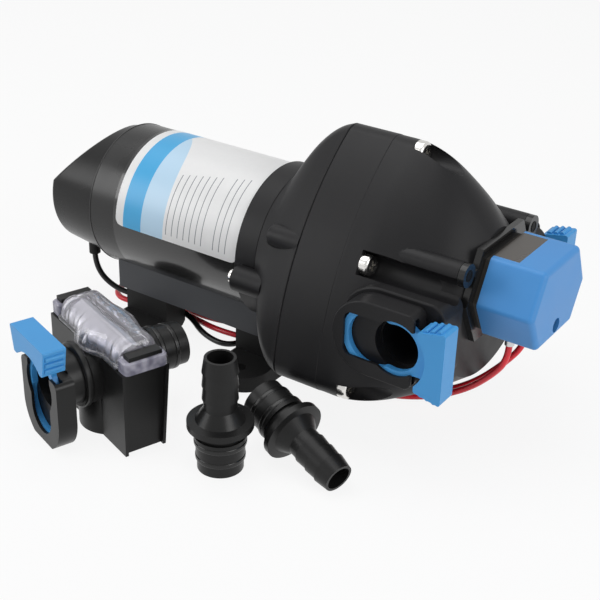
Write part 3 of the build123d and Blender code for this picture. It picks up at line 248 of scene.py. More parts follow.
def corner_numbers(mesh):
    """For each corner of each face, the number of the point that it stands on."""
    numbers = np.empty(len(mesh.loops), int)
    mesh.loops.foreach_get("vertex_index", numbers)
    return numbers


def softened(corners, cut, steps=5, most=0.45):
    """Closed profile whose corners turn into small parabolas: (1-t)^2 of the point a cut
    before the corner, 2t(1-t) of the corner and t^2 of the point a cut after it. A cut takes
    at most this share of a side."""
    corners = np.asarray(corners, float)
    back = np.roll(corners, 1, axis=0) - corners
    ahead = np.roll(corners, -1, axis=0) - corners
    back_length = np.linalg.norm(back, axis=1, keepdims=True)
    ahead_length = np.linalg.norm(ahead, axis=1, keepdims=True)
    cut = np.broadcast_to(np.asarray(cut, float).reshape(-1, 1), back_length.shape)
    start = corners + back / back_length * np.minimum(cut, most * back_length)
    end = corners + ahead / ahead_length * np.minimum(cut, most * ahead_length)
    t = np.linspace(0, 1, steps)[:, None, None]
    arcs = (1 - t) ** 2 * start + 2 * t * (1 - t) * corners + t**2 * end
    return arcs.transpose(1, 0, 2).reshape(-1, 2)


def turned(profile, origin, along, count=96):
    """Points and faces of a closed profile (radius, distance) turned about an axis:
    origin + distance * axis + radius * (cos of the angle * one side + sin * the other)."""
    along = np.asarray(along, float) / np.linalg.norm(along)
    helper = np.array([0.0, 0.0, 1.0]) if abs(along[2]) < 0.9 else np.array([1.0, 0.0, 0.0])
    side = np.cross(along, helper)
    side /= np.linalg.norm(side)
    other = np.cross(along, side)
    angle = np.linspace(0, 2 * np.pi, count, endpoint=False)
    circle = np.cos(angle)[:, None] * side + np.sin(angle)[:, None] * other
    points = (
        np.asarray(origin)
        + profile[:, 1][None, :, None] * along
        + profile[:, 0][None, :, None] * circle[:, None, :]
    )
    return points, grid_faces(count, len(profile), True, True)


def turned_piece(name, profile, origin, along, count=96, sharp=40.0):
    """The closed profile turned about an axis, as an object."""
    return surface(name, *turned(profile, origin, along, count), sharp)


print("helpers ready")

# %% [markdown]
# ## The three leads
# A lead is a soft insulated wire, so it never runs in straight lines. Each one is a single
# smooth NURBS curve with a round bevel. The order is raised to three, and the ends are
# pinned, only after the points are there, because an empty spline can't hold either. Its
# points carry the wire's radius and the bevel depth is one, because a curve's bounding box
# grows by the radius of its points. The leads leave the rubber grommets and the switch
# terminals and lie on the table.

# %% Leads
lead_diameter = 2.6 * mm
strand_radius, strand_circle = from_mm([0.27, 0.56])
outer_strands = 6
lead_routes = {
    "wire_black": [
        (-67.5, -14, 24.5), (-67.5, -14, 16), (-58.5, -10.4, 6.4), (-45, -5.8, 4.8),
        (-31, -5.2, 4.4), (-18, -6.2, 4.3), (-4, -13.6, 1.5), (11.4, -14.8, 1.5),
        (14.6, 2, 1.5), (16.6, 18, 1.5), (14.6, 34, 1.5), (10, 48, 1.5),
    ],
    "wire_switch_red": [
        (139, -8, 44), (139, -8, 37), (132, -5.4, 26.4), (120.5, -2.4, 14.2),
        (106, -3.6, 5.8), (90, -8.6, 2.8), (74, -10.6, 2.7), (58, -8.2, 2.6),
        (42, -4.4, 2.8), (27, -4.6, 4.2), (13, -8.4, 4.3), (-1, -9.2, 4),
        (-15, -4.2, 1.7), (-30, -2.2, 1.5), (-45, -6.6, 1.5), (-59, -9.8, 1.5),
        (-67.2, 0.4, 1.5), (-60, 11.4, 1.5), (-46, 7.2, 1.5), (-30, 1.6, 1.5),
        (-13, 0.2, 1.5), (2, 4.6, 1.5), (7.6, 19, 1.5), (4.6, 34, 1.5),
        (-3, 48, 1.5),
    ],
    "wire_motor_red": [
        (-67.5, 14, 24.5), (-67.5, 14, 16), (-58.5, 10.6, 6.6), (-45, 6.6, 4.8),
        (-30, 5.6, 4.4), (-14, 4.4, 4.4), (2, 5.4, 4.4), (17, 5.8, 4.3),
        (31, 4.2, 3.4), (46, 4, 2.4), (62, 3, 2.6), (78, 1.6, 2.6),
        (93, 1.2, 3.4), (108, 2.2, 6.4), (121, 4, 14.6), (132, 6.6, 26.4),
        (139, 8, 37), (139, 8, 44),
    ],
}


def wire_curve(name, route):
    """A smooth wire: a NURBS curve of order three through the pull of its route points."""
    points = from_mm(route)
    data = bpy.data.curves.new(name, "CURVE")
    data.dimensions = "3D"
    spline = data.splines.new("NURBS")
    spline.points.add(len(points) - 1)
    spline.points.foreach_set("co", np.column_stack([points, np.ones(len(points))]).ravel())
    spline.order_u = 3
    spline.use_endpoint_u = True
    spline.resolution_u = 10
    data.use_fill_caps = True
    wire = new_object(name, data)
    line = bpy.data.meshes.new_from_object(wire)
    path = mesh_points(line)
    bpy.data.meshes.remove(line)
    spline.points.foreach_set("radius", np.full(len(points), lead_diameter / 2))
    data.bevel_depth = 1.0
    data.bevel_resolution = 5
    length = np.linalg.norm(np.diff(path, axis=0), axis=1).sum()
    print(name, "is", round(length, 4), "m long")
    return wire, length, path


def bare_tip(name, path):
    """Tinned strands at a wire's end, six round a middle one. point(s, a) = end + s * (way
    out) + the strand's place in the bundle, which turns a quarter way round over its length,
    + its own circle."""
    way = path[-1] - path[-4]
    way /= np.linalg.norm(way)
    side = np.cross(way, [0.0, 0.0, 1.0])
    side /= np.linalg.norm(side)
    other = np.cross(side, way)
    s = np.linspace(-0.5, 5.5, 8) * mm
    a = np.linspace(0, 2 * np.pi, 8, endpoint=False)
    around = np.cos(a)[:, None] * side + np.sin(a)[:, None] * other
    points = []
    faces = []
    for strand in range(outer_strands + 1):
        lean = strand * np.pi / 3 + s / s[-1] * np.pi / 2
        out = strand_circle if strand < outer_strands else 0.0
        middle = out * (np.cos(lean)[:, None] * side + np.sin(lean)[:, None] * other)
        spine = path[-1] + s[:, None, None] * way + middle[:, None, :]
        points.append((spine + strand_radius * around[None]).reshape(-1, 3))
        first = strand * len(s) * len(a)
        faces += [[corner + first for corner in face] for face in capped_faces(len(s), len(a))]
    return surface(name, np.concatenate(points), faces)


lead_pieces = []
for name, node, slot, far_end in (
    ("wire_black", "lead_black", "lead_black", "bare"),
    ("wire_switch_red", "lead_red", "lead_red", "bare"),
    ("wire_motor_red", "lead_motor_red", "lead_red", "object"),
):
    wire, length, path = wire_curve(name, lead_routes[name])
    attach(wire, "pump")
    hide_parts(node)
    tips = [bare_tip(name.replace("wire", "tip"), path)] if far_end == "bare" else []
    for tip in tips:
        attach(tip, "pump")
    lead_pieces += [(wire, slot), *((tip, "tinned") for tip in tips)]

# %% [markdown]
# ## The outline of the head
# The head and the drive housing share one outline: a triangle with three round corners and
# three gently curved sides. It is written once, for any corner distance, side distance and
# corner radius, so that the same function gives the straight chamber section, the dome in
# front of it and the flare behind it.

# %% Head outline
head_sizes = from_mm([58.5, 42.7, 8.2])
parting_x, crease_x, face_x = from_mm([61, 80.5, 126])
corner_angles = np.radians([90, 210, 330])


def head_ring(corner, side, tip, corner_steps=20, side_steps=44):
    """Rounded triangle as rows (Y, up). The corner arcs stand at r = corner - tip, the side
    arcs are centred k behind the axis, with k = (r^2 - a^2) / (2a - r) and a = side - tip."""
    reach = corner - tip
    step = side - tip
    behind = (reach**2 - step**2) / (2 * step - reach)
    turn = math.atan2(reach * math.sin(math.pi / 3), behind + reach * math.cos(math.pi / 3))
    arcs = []
    for angle in corner_angles:
        for facing, spread, middle, radius, steps in (
            (angle, math.pi / 3 - turn, reach, tip, corner_steps),
            (angle + math.pi / 3, turn, -behind, behind + side, side_steps),
        ):
            sweep = np.linspace(facing - spread, facing + spread, steps, endpoint=False)
            centre = middle * np.array([math.cos(facing), math.sin(facing)])
            arcs.append(centre + radius * np.column_stack([np.cos(sweep), np.sin(sweep)]))
    return np.concatenate(arcs)


def shares_at(table, at):
    """Smooth shares along a length: each piece between two rows of the table is the cubic
    (2t^3-3t^2+1) a + (t^3-2t^2+t) d a' + (3t^2-2t^3) b + (t^3-t^2) d b'."""
    table = np.array(table)
    place, value = table[:, 0], table[:, 1:]
    slope = np.gradient(value, place, axis=0)
    row = np.clip(np.searchsorted(place, at) - 1, 0, len(place) - 2)
    wide = (place[row + 1] - place[row])[:, None]
    t = (at - place[row])[:, None] / wide
    start = (2 * t**3 - 3 * t**2 + 1) * value[row] + (t**3 - 2 * t**2 + t) * wide * slope[row]
    end = (3 * t**2 - 2 * t**3) * value[row + 1] + (t**3 - t**2) * wide * slope[row + 1]
    return start + end


def lofted(name, stations, rings):
    """A closed skin through rings of equal count, each at its station along X."""
    rings = np.asarray(rings)
    x = np.broadcast_to(np.asarray(stations)[:, None], rings.shape[:2])
    points = np.dstack([x, rings[:, :, 0], rings[:, :, 1] + axis_height])
    return surface(name, points, capped_faces(*x.shape))


dome_table = [
    (0, 1, 1, 1), (0.25, 0.988, 0.985, 1.22), (0.5, 0.912, 0.93, 1.46),
    (0.73, 0.775, 0.84, 1.71), (1, 0.55, 0.66, 1.95),
]
flare_table = [
    (0, 0.581, 0.794, 3.96), (0.13, 0.641, 0.817, 3.54), (0.28, 0.744, 0.85, 2.93),
    (0.435, 0.838, 0.888, 2.32), (0.6, 0.909, 0.925, 1.83), (0.78, 0.962, 0.96, 1.34),
    (1, 1, 1, 1),
]
edge = 0.35 * mm
crease, crease_depth, dome_inset = from_mm([0.2, 0.15, 0.1])
dome_steps = np.linspace(0, 1, 46)
dome_stations = crease_x + crease + dome_steps * (face_x - crease_x - crease)
head_stations = [parting_x, parting_x + edge, crease_x - crease, crease_x, *dome_stations]
head_rings = [head_ring(*(head_sizes - edge)), head_ring(*head_sizes), head_ring(*head_sizes)]
head_rings += [head_ring(*(head_sizes - crease_depth))]
dome_shares = shares_at(dome_table, dome_steps)
head_rings += [head_ring(*(shares * head_sizes - dome_inset)) for shares in dome_shares]
head_body = lofted("head_body", head_stations, head_rings)
print("head skin", len(head_body.data.vertices), "points")

# %% [markdown]
# ## Blocks and cutters of the head
# Real housings are made this way too: a core body, blocks added to it for the ports, and
# pockets and bores taken out of it by the mould's cores. Each block is a flat outline drawn
# out along Y with a small soft edge, and each cutter is a plain cylinder or block. Exact
# Boolean modifiers then join and cut them, and the finished mesh is read back once.

# %% Blocks and cutters
port_x, port_middle = from_mm([113.7, -11.5])


def stadium(half, end, corner, middle=port_middle, far_corner=None, steps=28):
    """Outline that is round at its far end (or has far corners there) and square, with
    rounded corners, at the end towards the clip. Rows are (along X, up)."""
    def arc(place, radius, first, last):
        sweep = np.radians(np.linspace(first, last, steps))
        return np.array(place) + radius * np.column_stack([np.cos(sweep), np.sin(sweep)])

    if far_corner is None:
        far = [arc((middle, 0), half, 90, 270)]
    else:
        far = [arc((middle + far_corner, half - far_corner), far_corner, 90, 180)]
        far += [arc((middle + far_corner, far_corner - half), far_corner, 180, 270)]
    near = [arc((end - corner, corner - half), corner, 270, 360)]
    near += [arc((end - corner, half - corner), corner, 0, 90)]
    return np.concatenate(far + near)


def drawn_out(name, outlines, reaches, side):
    """A closed block through outlines (along X, up) at rising distances from the axis."""
    outlines = np.asarray(outlines)
    y = np.broadcast_to(side * np.asarray(reaches)[:, None], outlines.shape[:2])
    points = np.dstack([outlines[:, :, 0] + port_x, y, outlines[:, :, 1] + axis_height])
    return surface(name, points, capped_faces(*y.shape))


def boss(name, profile, place, count=48, sharp=40.0):
    """A closed profile (radius, X) turned about the line along X through (Y, up)."""
    origin = (0, place[0], place[1] + axis_height)
    return turned_piece(name, np.array(profile), origin, (1, 0, 0), count, sharp)


def rod(name, place, start, end, radius, count=64):
    """A closed cylinder along X from start to end, through (Y, up)."""
    return boss(name, [(0, start), (radius, start), (radius, end), (0, end)], place, count)


def side_rod(name, side, start, radius):
    """A closed cylinder along Y at the port's middle, from start to past the head's face."""
    low, high = sorted((side * start, side * past_face))
    profile = np.array([(0, low), (radius, low), (radius, high), (0, high)])
    return turned_piece(name, profile, (port_x, 0, axis_height), (0, 1, 0))


past_face = 54.0 * mm
port_steps = {
    "port_block": [(15.2, 7.5, 3), (15.2, 7.5, 3), (15, 7.3, 2.8), (14.6, 6.9, 2.4)],
    "port_ledge": [(17, 14.5, 6), (17, 14.5, 6), (16.7, 14.2, 5.7), (16.2, 13.7, 5.2)],
}
port_reaches = {"port_block": [26, 52, 52.3, 52.5], "port_ledge": [29, 42.9, 43.3, 43.5]}
clip_slot = stadium(*from_mm([13.6, 16, 1, -9.6]))
clip_window = stadium(*from_mm([8.9, 16, 1, -21.6, 3]))
blocks = []
cutters = []
for side in (-1, 1):
    for name, steps in port_steps.items():
        rings = [stadium(*row) for row in from_mm(steps)]
        blocks.append(drawn_out(name, rings, from_mm(port_reaches[name]), side))
    cutters.append(side_rod("port_bore", side, 25.0 * mm, 9.5 * mm))
    cutters.append(side_rod("port_mouth", side, 44.5 * mm, 10.1 * mm))
    for name, outline, reaches in (
        ("clip_slot", clip_slot, (48.7, 51.3)), ("clip_window", clip_window, (51.0, 54.0)),
    ):
        cutters.append(drawn_out(name, [outline, outline], from_mm(reaches), side))
    cutters.append(side_rod("lip_round", side, 51.0 * mm, 11.0 * mm))
lug_places = from_mm([(-27, 23.8), (27, 23.8)])
lug_start, lug_end, lug_radius = from_mm([98, 125.8, 4.6])
for place in lug_places:
    blocks.append(rod("lug", place, lug_start, lug_end, lug_radius))

screw_angles = np.radians([90, 150, 210, 270, 330, 30])
screw_ways = np.column_stack([np.cos(screw_angles), np.sin(screw_angles)])
screw_reaches = from_mm([54, 37.8] * 3)
screw_seats = from_mm([89.7, 87.9] * 3)
screw_places = screw_reaches[:, None] * screw_ways
pocket_radius, pocket_end, mouth_step = from_mm([4.9, 140, 3.4])
for place, reach, seat in zip(screw_places, screw_reaches, screw_seats):
    mouth = place * (1 + mouth_step / reach)
    cutters.append(rod("screw_pocket", place, seat, pocket_end, pocket_radius))
    cutters.append(rod("pocket_mouth", mouth, seat, pocket_end, pocket_radius))
print("blocks", len(blocks), "cutters", len(cutters))

# %% [markdown]
# A Boolean leaves faces of very uneven size. Weighted normals keep them looking flat,
# because each point's normal follows its large faces.

# %% The finished head
def carved(name, solid, joined, taken, dissolved=0.0, sharp=32.0):
    """The solid with the joined blocks added and the cutters taken away, as one new mesh.
    Neighbouring faces that differ by less than the dissolved angle become one face."""
    for operation, tools in (("UNION", joined), ("DIFFERENCE", taken)):
        for tool in tools:
            modifier = solid.modifiers.new(operation.lower(), "BOOLEAN")
            modifier.operation = operation
            modifier.solver = "EXACT"
            modifier.object = tool
    bpy.context.view_layer.update()
    evaluated = solid.evaluated_get(bpy.context.evaluated_depsgraph_get())
    shape = bpy.data.meshes.new_from_object(evaluated)
    if dissolved:
        flat_parts = bmesh.new()
        flat_parts.from_mesh(shape)
        bmesh.ops.dissolve_limit(flat_parts, angle_limit=math.radians(dissolved),
                                 verts=flat_parts.verts, edges=flat_parts.edges)
        flat_parts.to_mesh(shape)
        flat_parts.free()
    for used in [solid, *joined, *taken]:
        bpy.data.objects.remove(used)
    shape.name = name
    shape.set_sharp_from_angle(angle=math.radians(sharp))
    thing = new_object(name, shape)
    evened = thing.modifiers.new("evened_normals", "WEIGHTED_NORMAL")
    evened.keep_sharp = True
    return thing


pump_head = carved("moulded_head", head_body, blocks, cutters)
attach(pump_head, "pump")
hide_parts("pump_head")
print("finished head", len(pump_head.data.polygons), "faces")

# %% [markdown]
# ## The flare of the drive housing
# The housing grows from a round collar that clasps the motor to the outline of the head.
# Its table of shares was chosen against the silhouette: it leaves the collar steeply and
# then rounds over to the joint. Small edges turn in on both sides of the joint, so that it
# shows as the thin dark line that every moulded joint has.

# %% Drive housing
def round_ring(radius):
    """The head outline opened out into a circle of this radius."""
    return head_ring(radius, radius - 0.01 * mm, radius - 0.15 * mm)


flare_rear, flare_stop, joint_gap = from_mm([38, 0.5, 0.12])
flare_steps = np.linspace(0, 1, 30)
flare_shares = shares_at(flare_table, flare_steps)
flare_stations = flare_rear + flare_steps * (parting_x - flare_stop - flare_rear)
collar = [(27.5, 32), (27.5, 32.9), (27.9, 33.35), (37.4, 33.35), (37.6, 33), (37.9, 33)]
housing_stations = [x * mm for x, radius in collar] + [*flare_stations, parting_x - joint_gap]
housing_rings = [round_ring(radius * mm) for x, radius in collar]
housing_rings += [head_ring(*(shares * head_sizes)) for shares in flare_shares]
housing_rings += [head_ring(*(head_sizes - edge))]
drive_skin = lofted("drive_skin", housing_stations, housing_rings)
side_boss = [(0, 45), (3.4, 45.2), (4.4, 46.2), (4.7, 48), (5.2, 60.8), (0, 60.8)]
bolt_boss = [(0, 31), (5, 31), (5.4, 31.5), (5.4, 46), (0, 47)]
bosses = [boss("side_boss", from_mm(side_boss), place, 48, 50) for place in screw_places[1::2]]
bolt_places = from_mm([(-36.2, -3), (36.2, -3)])
bosses += [boss("bolt_boss", from_mm(bolt_boss), place) for place in bolt_places]
motor_seat = rod("motor_seat", (0, 0), 20.0 * mm, 28.5 * mm, 31.8 * mm, 128)
drive_housing = carved("flared_housing", drive_skin, bosses, [motor_seat])
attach(drive_housing, "pump")
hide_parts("drive_housing")
print("flare from", flare_rear, "to", parting_x)

# %% [markdown]
# ## The head screws
# The six screws keep the shape that they have as solids, with rounded pan heads and cross
# recesses. A copy of their mesh is moved in one array sum: every point belongs to the
# screw nearest to its angle about the axis, and that screw's shift is added to it.

# %% Head screws
solid_reaches = from_mm([54.4, 41.3] * 3)
solid_seat, shank_end, under_head = from_mm([91.9, 66, 0.3])
wider, taller = 1.17, 0.4
screw_mesh = nodes["head_screws"].data.copy()
points = mesh_points(screw_mesh)
angle = np.arctan2(points[:, 2] - axis_height, points[:, 1])
apart = np.abs(np.exp(1j * angle)[:, None] - np.exp(1j * screw_angles)[None, :])
nearest = np.argmin(apart, axis=1)
seats = screw_seats[nearest]
inward = (screw_reaches - solid_reaches)[nearest]
points[:, 0] += (screw_seats - solid_seat)[nearest]
points[:, 1:] += inward[:, None] * screw_ways[nearest]
points[:, 0] = np.maximum(points[:, 0], shank_end)
on_head = (points[:, 0] > seats - under_head)[:, None]
middles = screw_places[nearest] + np.array([0, axis_height])
points[:, 1:] = middles + (points[:, 1:] - middles) * np.where(on_head, wider, 1.0)
points[:, 0] += np.maximum(points[:, 0] - seats, 0) * taller
screw_mesh.vertices.foreach_set("co", points.ravel())
screw_mesh.update()
head_screws = new_object("pan_head_screws", screw_mesh)
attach(head_screws, "pump")
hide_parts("head_screws")

ear_x = 128.5 * mm
ear_profile = [
    (0, 0.04), (1.75, 0.04), (1.8, 0.2), (2, 0.28), (2.25, 0.2), (2.35, -0.4), (0, -1),
]
ear_origins = [(ear_x, across, up + axis_height) for across, up in lug_places]
ears = [turned(from_mm(ear_profile), origin, (1, 0, 0), 40) for origin in ear_origins]
ear_points = [points.reshape(-1, 3) for points, faces in ears]
ear_faces = [faces + number * len(ear_points[0]) for number, (points, faces) in enumerate(ears)]
ear_screws = surface("ear_screws", np.concatenate(ear_points), np.concatenate(ear_faces))
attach(ear_screws, "pump")
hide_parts("switch_screws")
print("screws moved in by", (inward.min() / mm).round(2), "mm")

# %% [markdown]
# ## The strainer's tub
# The tub is a moulded box with a round belly. Its long walls run past the end walls as thin
# ribs, and a round bead stands where the port grows out of the belly. The solid of the tub
# is copied and merged, and a few cutters and a turned ring give it those forms.

# %% Strainer tub
strainer_turn = math.radians(-20.0)
strainer_corner = from_mm([29, -103.4, 0])
tub_along = np.array([math.cos(strainer_turn), math.sin(strainer_turn), 0.0])
tub_across = np.array([-math.sin(strainer_turn), math.cos(strainer_turn), 0.0])
straight_up = np.array([0.0, 0.0, 1.0])
belly_middle, port_height = from_mm([-28, 24.6])


def on_strainer(w, t, z):
    """Points of the strainer: corner + w * along the tub + t * across it + z * up."""
    w, t, z = np.broadcast_arrays(*(np.asarray(value, float)[..., None] for value in (w, t, z)))
    return strainer_corner + w * tub_along + t * tub_across + z * straight_up


def stacked(name, outlines, heights):
    """A closed piece through outlines (w, t) of equal count, each at its own height."""
    outlines = np.asarray(outlines)
    points = on_strainer(outlines[:, :, 0], outlines[:, :, 1], np.asarray(heights)[:, None])
    return surface(name, points, capped_faces(*outlines.shape[:2]))


def plan(w_low, w_high, t_low, t_high):
    """The four corners, in metres, of a rectangle in plan whose sides are in millimetres."""
    return from_mm([(w_low, t_low), (w_high, t_low), (w_high, t_high), (w_low, t_high)])


solid = nodes["strainer_tub"].data
tub_body = surface("tub_body", mesh_points(solid), corner_numbers(solid).reshape(-1, 3))
port_axis = on_strainer(belly_middle, 0, port_height)
end_recesses = []
for w_low, w_high in ((-1.9, 3.0), (-63.0, -58.1)):
    recess = [plan(w_low, w_high, 1.3, 16.2), plan(w_low, w_high, 1.3, 18.7)]
    end_recesses.append(stacked("end_recess", recess, [-1 * mm, 34.4 * mm]))
neck = from_mm([(11, 7), (15, 7), (15, 13.1), (11, 13.1)])
port_neck = turned_piece("port_neck", neck, port_axis, -tub_across)
bead = softened(from_mm([(10.5, 4), (13.2, 4), (13.2, 6.9), (10.5, 6.9)]), 0.9 * mm)
port_bead = turned_piece("port_bead", bead, port_axis, -tub_across)
strainer_tub = carved("ribbed_tub", tub_body, [port_bead], [port_neck, *end_recesses], 0.3)
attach(strainer_tub, "strainer")
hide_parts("strainer_tub")
print("tub", len(strainer_tub.data.polygons), "faces")

# %% [markdown]
# ## The clear lid
# The lid is a thin clear moulding: a flat rim, a dome that follows the belly, and a frame
# round each of the two black tabs that hold it. The dome is one closed skin. Its rings are
# the outline drawn in towards a spine along the middle, first up the outside and then down
# the inside, so the wall has a real thickness and bends light as the real one does.

# %% Lid outline
belly_half, near_swell, far_swell = from_mm([13, 4.3, 2.3])


def belly_swell(w):
    """How much of the belly shows at a place along the tub: the squared cosine of the
    distance from its middle, and nothing past its half width."""
    share = np.clip((w - belly_middle) / belly_half, -1, 1)
    return np.cos(share * np.pi / 2) ** 2


def lid_outline(long_steps=70, corner_steps=9, end_steps=10):
    """Rounded rectangle in plan, with the belly's swell pushed out on both long sides."""
    w_rear, w_front, t_near, t_far, corner = from_mm([-54.8, -5.2, 0.5, 19.5, 3])
    along = np.linspace(w_rear + corner, w_front - corner, long_steps, endpoint=False)
    across = np.linspace(t_near + corner, t_far - corner, end_steps, endpoint=False)
    turn = np.linspace(0, np.pi / 2, corner_steps, endpoint=False)
    wide, rise = corner * np.sin(turn), corner * (1 - np.cos(turn))
    stretches = [
        (along, t_near - near_swell * belly_swell(along)),
        (w_front - corner + wide, t_near + rise),
        (np.full(end_steps, w_front), across),
        (w_front - rise, t_far - corner + wide),
        (along[::-1], t_far + far_swell * belly_swell(along[::-1])),
        (w_rear + corner - wide, t_far - rise),
        (np.full(end_steps, w_rear), across[::-1]),
        (w_rear + rise, t_near + corner - wide),
    ]
    return np.concatenate([np.column_stack(stretch) for stretch in stretches])


outline = lid_outline()
spine_rear, spine_front, spine_across = from_mm([-46, -14, 9.8])
spine_w = np.clip(outline[:, 0], spine_rear, spine_front)
spine = np.column_stack([spine_w, np.full(len(outline), spine_across)])
print("lid outline", len(outline), "points")

# %% [markdown]
# Each pair below is the skin's share of the way from the spine to the outline and its
# height. Fine ribs on the inside make the lid glitter. The frames are a second piece.

# %% Clear lid
outside = [
    (1, 35.7), (1.05, 35.8), (1.06, 36.3), (1.05, 37), (1, 37.2), (0.97, 37.3),
    (0.955, 37.8), (0.94, 39.2), (0.91, 41), (0.86, 42.7), (0.78, 44.1), (0.66, 45.2),
    (0.5, 45.9), (0.32, 46.15), (0.15, 46.2), (0, 46.2),
]
inside = [
    (0, 44.7), (0.2, 44.65), (0.38, 44.4), (0.54, 43.8), (0.66, 42.8), (0.75, 41.4),
    (0.81, 39.6), (0.85, 37.5), (0.87, 35.9), (0.89, 35.7),
]
skin = np.array(outside + inside)
rib_depth, rib_count = 0.022, 24
ribbed = np.arange(len(skin))[:, None] >= len(outside)
step = np.arange(len(outline))[None, :]
waves = ribbed * rib_depth * np.sin(step * 2 * np.pi * rib_count / len(outline))
shares = skin[:, :1] * (1 + waves)
rings = spine[None] + (outline - spine)[None] * shares[:, :, None]
points = on_strainer(rings[:, :, 0], rings[:, :, 1], skin[:, 1:] * mm)
clear_lid = surface("lid_dome", points, grid_faces(len(skin), len(outline), True, True), 60)
frames = []
for w_low, w_high in ((-6.4, 1.0), (-61.0, -53.6)):
    rings = [softened(plan(w_low, w_high, 0.9, 19.1), 2.2 * mm)] * 2
    rings += [softened(plan(w_low + 0.5, w_high - 0.5, 1.4, 18.6), 2.0 * mm)]
    frames.append(stacked("tab_frame", rings, from_mm([35.7, 40.2, 40.8])))
tab_frames = carved("tab_frames", frames[0], [frames[1]], [])
for thing in (clear_lid, tab_frames):
    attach(thing, "strainer_lid")
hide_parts("strainer_lid")
print("lid", len(clear_lid.data.polygons), "faces")

# %% [markdown]
# ## The mesh under the lid
# A fine steel mesh lies under the lid like half a tube, with a folded seam along its top.
# It is one closed arch: the half circle is drawn along the tub, and small waves on its
# surface stand for the wires.

# %% Mesh arch
def arch_radius(along, around):
    """Radius in millimetres over (distance along, angle): a plain tube, plus one wave along
    it times one wave round it for the wires, plus a narrow bell curve on top for the seam."""
    wire_pitch, wave_radius, tube_radius = 1.1, 6.4, 6.3
    wire_depth, seam_height, seam_width = 0.07, 0.55, 0.07
    wires = np.sin(along * 2 * np.pi / (wire_pitch * mm))
    wires = wires * np.sin(around * wave_radius * 2 * np.pi / wire_pitch)
    seam = np.exp(-((around - np.pi / 2) / seam_width) ** 2)
    return tube_radius + wire_depth * wires + seam_height * seam


along = np.linspace(-50.0, -9.0, 160)[:, None] * mm
around = np.linspace(0, np.pi, 60)[None, :]
radius = arch_radius(along, around) * mm
arch_across, arch_foot = from_mm([9, 35.8])
across, up = arch_across - radius * np.cos(around), arch_foot + radius * np.sin(around)
mesh_arch = surface("mesh_arch", on_strainer(along, across, up), capped_faces(*radius.shape), 50)
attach(mesh_arch, "strainer")
print("mesh arch", len(mesh_arch.data.polygons), "faces")

# %% [markdown]
# ## The label
# The label is a thin printed sheet with round corners, wrapped over the upper half of the
# motor. It is a grid over (length, angle) whose rows are drawn in near the corners, and its
# UV map says how far along and how far round a point is, so the print follows the sheet.

# %% Label sheet
label_rear, label_length, label_radius, label_corner = from_mm([-37.1, 64.6, 31.98, 3.2])
label_thickness = 0.12 * mm
round_steps = np.concatenate([
    np.linspace(0, 0.03, 12), np.linspace(0.035, 0.965, 90), np.linspace(0.97, 1, 12),
])
edge_run = np.minimum(round_steps, 1 - round_steps) * np.pi * label_radius
short = np.clip(label_corner - edge_run, 0, label_corner)
drawn_in = label_corner - np.sqrt(label_corner**2 - short**2)
length_steps = np.linspace(0, 1, 60)[:, None]
x = label_rear + drawn_in + length_steps * (label_length - 2 * drawn_in)
angle = np.broadcast_to(round_steps * np.pi, x.shape)
skins = []
for radius in (label_radius, label_radius - label_thickness):
    skins.append(np.dstack([x, -radius * np.cos(angle), axis_height + radius * np.sin(angle)]))
rows, columns = x.shape
below = rows * columns
first_row = np.arange(columns)
last_column = np.arange(2, rows) * columns - 1
last_row = np.arange(below - 1, below - columns - 1, -1)
first_column = np.arange(rows - 2, 0, -1) * columns
edge_loop = np.concatenate([first_row, last_column, last_row, first_column])
edge_next = np.roll(edge_loop, -1)
sides = np.column_stack([edge_loop, edge_next, edge_next + below, edge_loop + below])
faces = grid_faces(rows, columns)
faces = np.concatenate([faces, faces + below, sides])
label_sheet = surface("label_sheet", np.concatenate([skin.reshape(-1, 3) for skin in skins]), faces)
spot = mesh_points(label_sheet.data)[corner_numbers(label_sheet.data)]
share_along = (spot[:, 0] - label_rear) / label_length
share_round = np.arctan2(spot[:, 2] - axis_height, -spot[:, 1]) / np.pi
label_map = label_sheet.data.uv_layers.new(name="print")
label_map.data.foreach_set("uv", np.column_stack([share_along, share_round]).ravel())
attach(label_sheet, "pump")
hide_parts("rating_label")

joint = from_mm([(31.2, -52.5), (31.95, -52.5), (31.95, -51.9), (31.2, -51.9)])
joint = softened(joint, 0.2 * mm)
joint_bead = turned_piece("joint_bead", joint, (0, 0, axis_height), (1, 0, 0), 160)
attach(joint_bead, "pump")
print("label", len(label_sheet.data.polygons), "faces")

# %% [markdown]
# ## Shader groups
# Moulded plastic, paint and rubber share two effects. The grain is the fine spark-eroded
# texture of the mould. The handling group varies roughness and colour slowly over a
# surface, as finger marks and uneven gloss do. Each is built once as a node group.

# %% Shader groups
def start_group(name, inputs, outputs):
    """An empty shader node group. A socket is a colour or a number, as its value is, and a
    vector where it has no value."""
    kinds = {type(None): "NodeSocketVector", tuple: "NodeSocketColor", float: "NodeSocketFloat"}
    group = bpy.data.node_groups.new(name, "ShaderNodeTree")
    for way, sockets in (("INPUT", inputs), ("OUTPUT", outputs)):
        for label, value in sockets.items():
            kind = kinds[type(value)]
            socket = group.interface.new_socket(name=label, in_out=way, socket_type=kind)
            if value is not None:
                socket.default_value = value
    return group, group.nodes.new("NodeGroupInput"), group.nodes.new("NodeGroupOutput")


def noise(tree, place, scale, detail=2.0):
    """The grey value of a noise texture at a place."""
    texture = tree.nodes.new("ShaderNodeTexNoise")
    return fed(tree, texture, Vector=place, Scale=scale, Detail=detail).outputs["Fac"]


def ranged(tree, value, low, high, least=0.0, most=1.0):
    """The value carried over from the range low to high into the range least to most."""
    node = tree.nodes.new("ShaderNodeMapRange")
    for socket, number in zip(node.inputs, (value, low, high, least, most)):
        feed(tree, socket, number)
    return node.outputs["Result"]


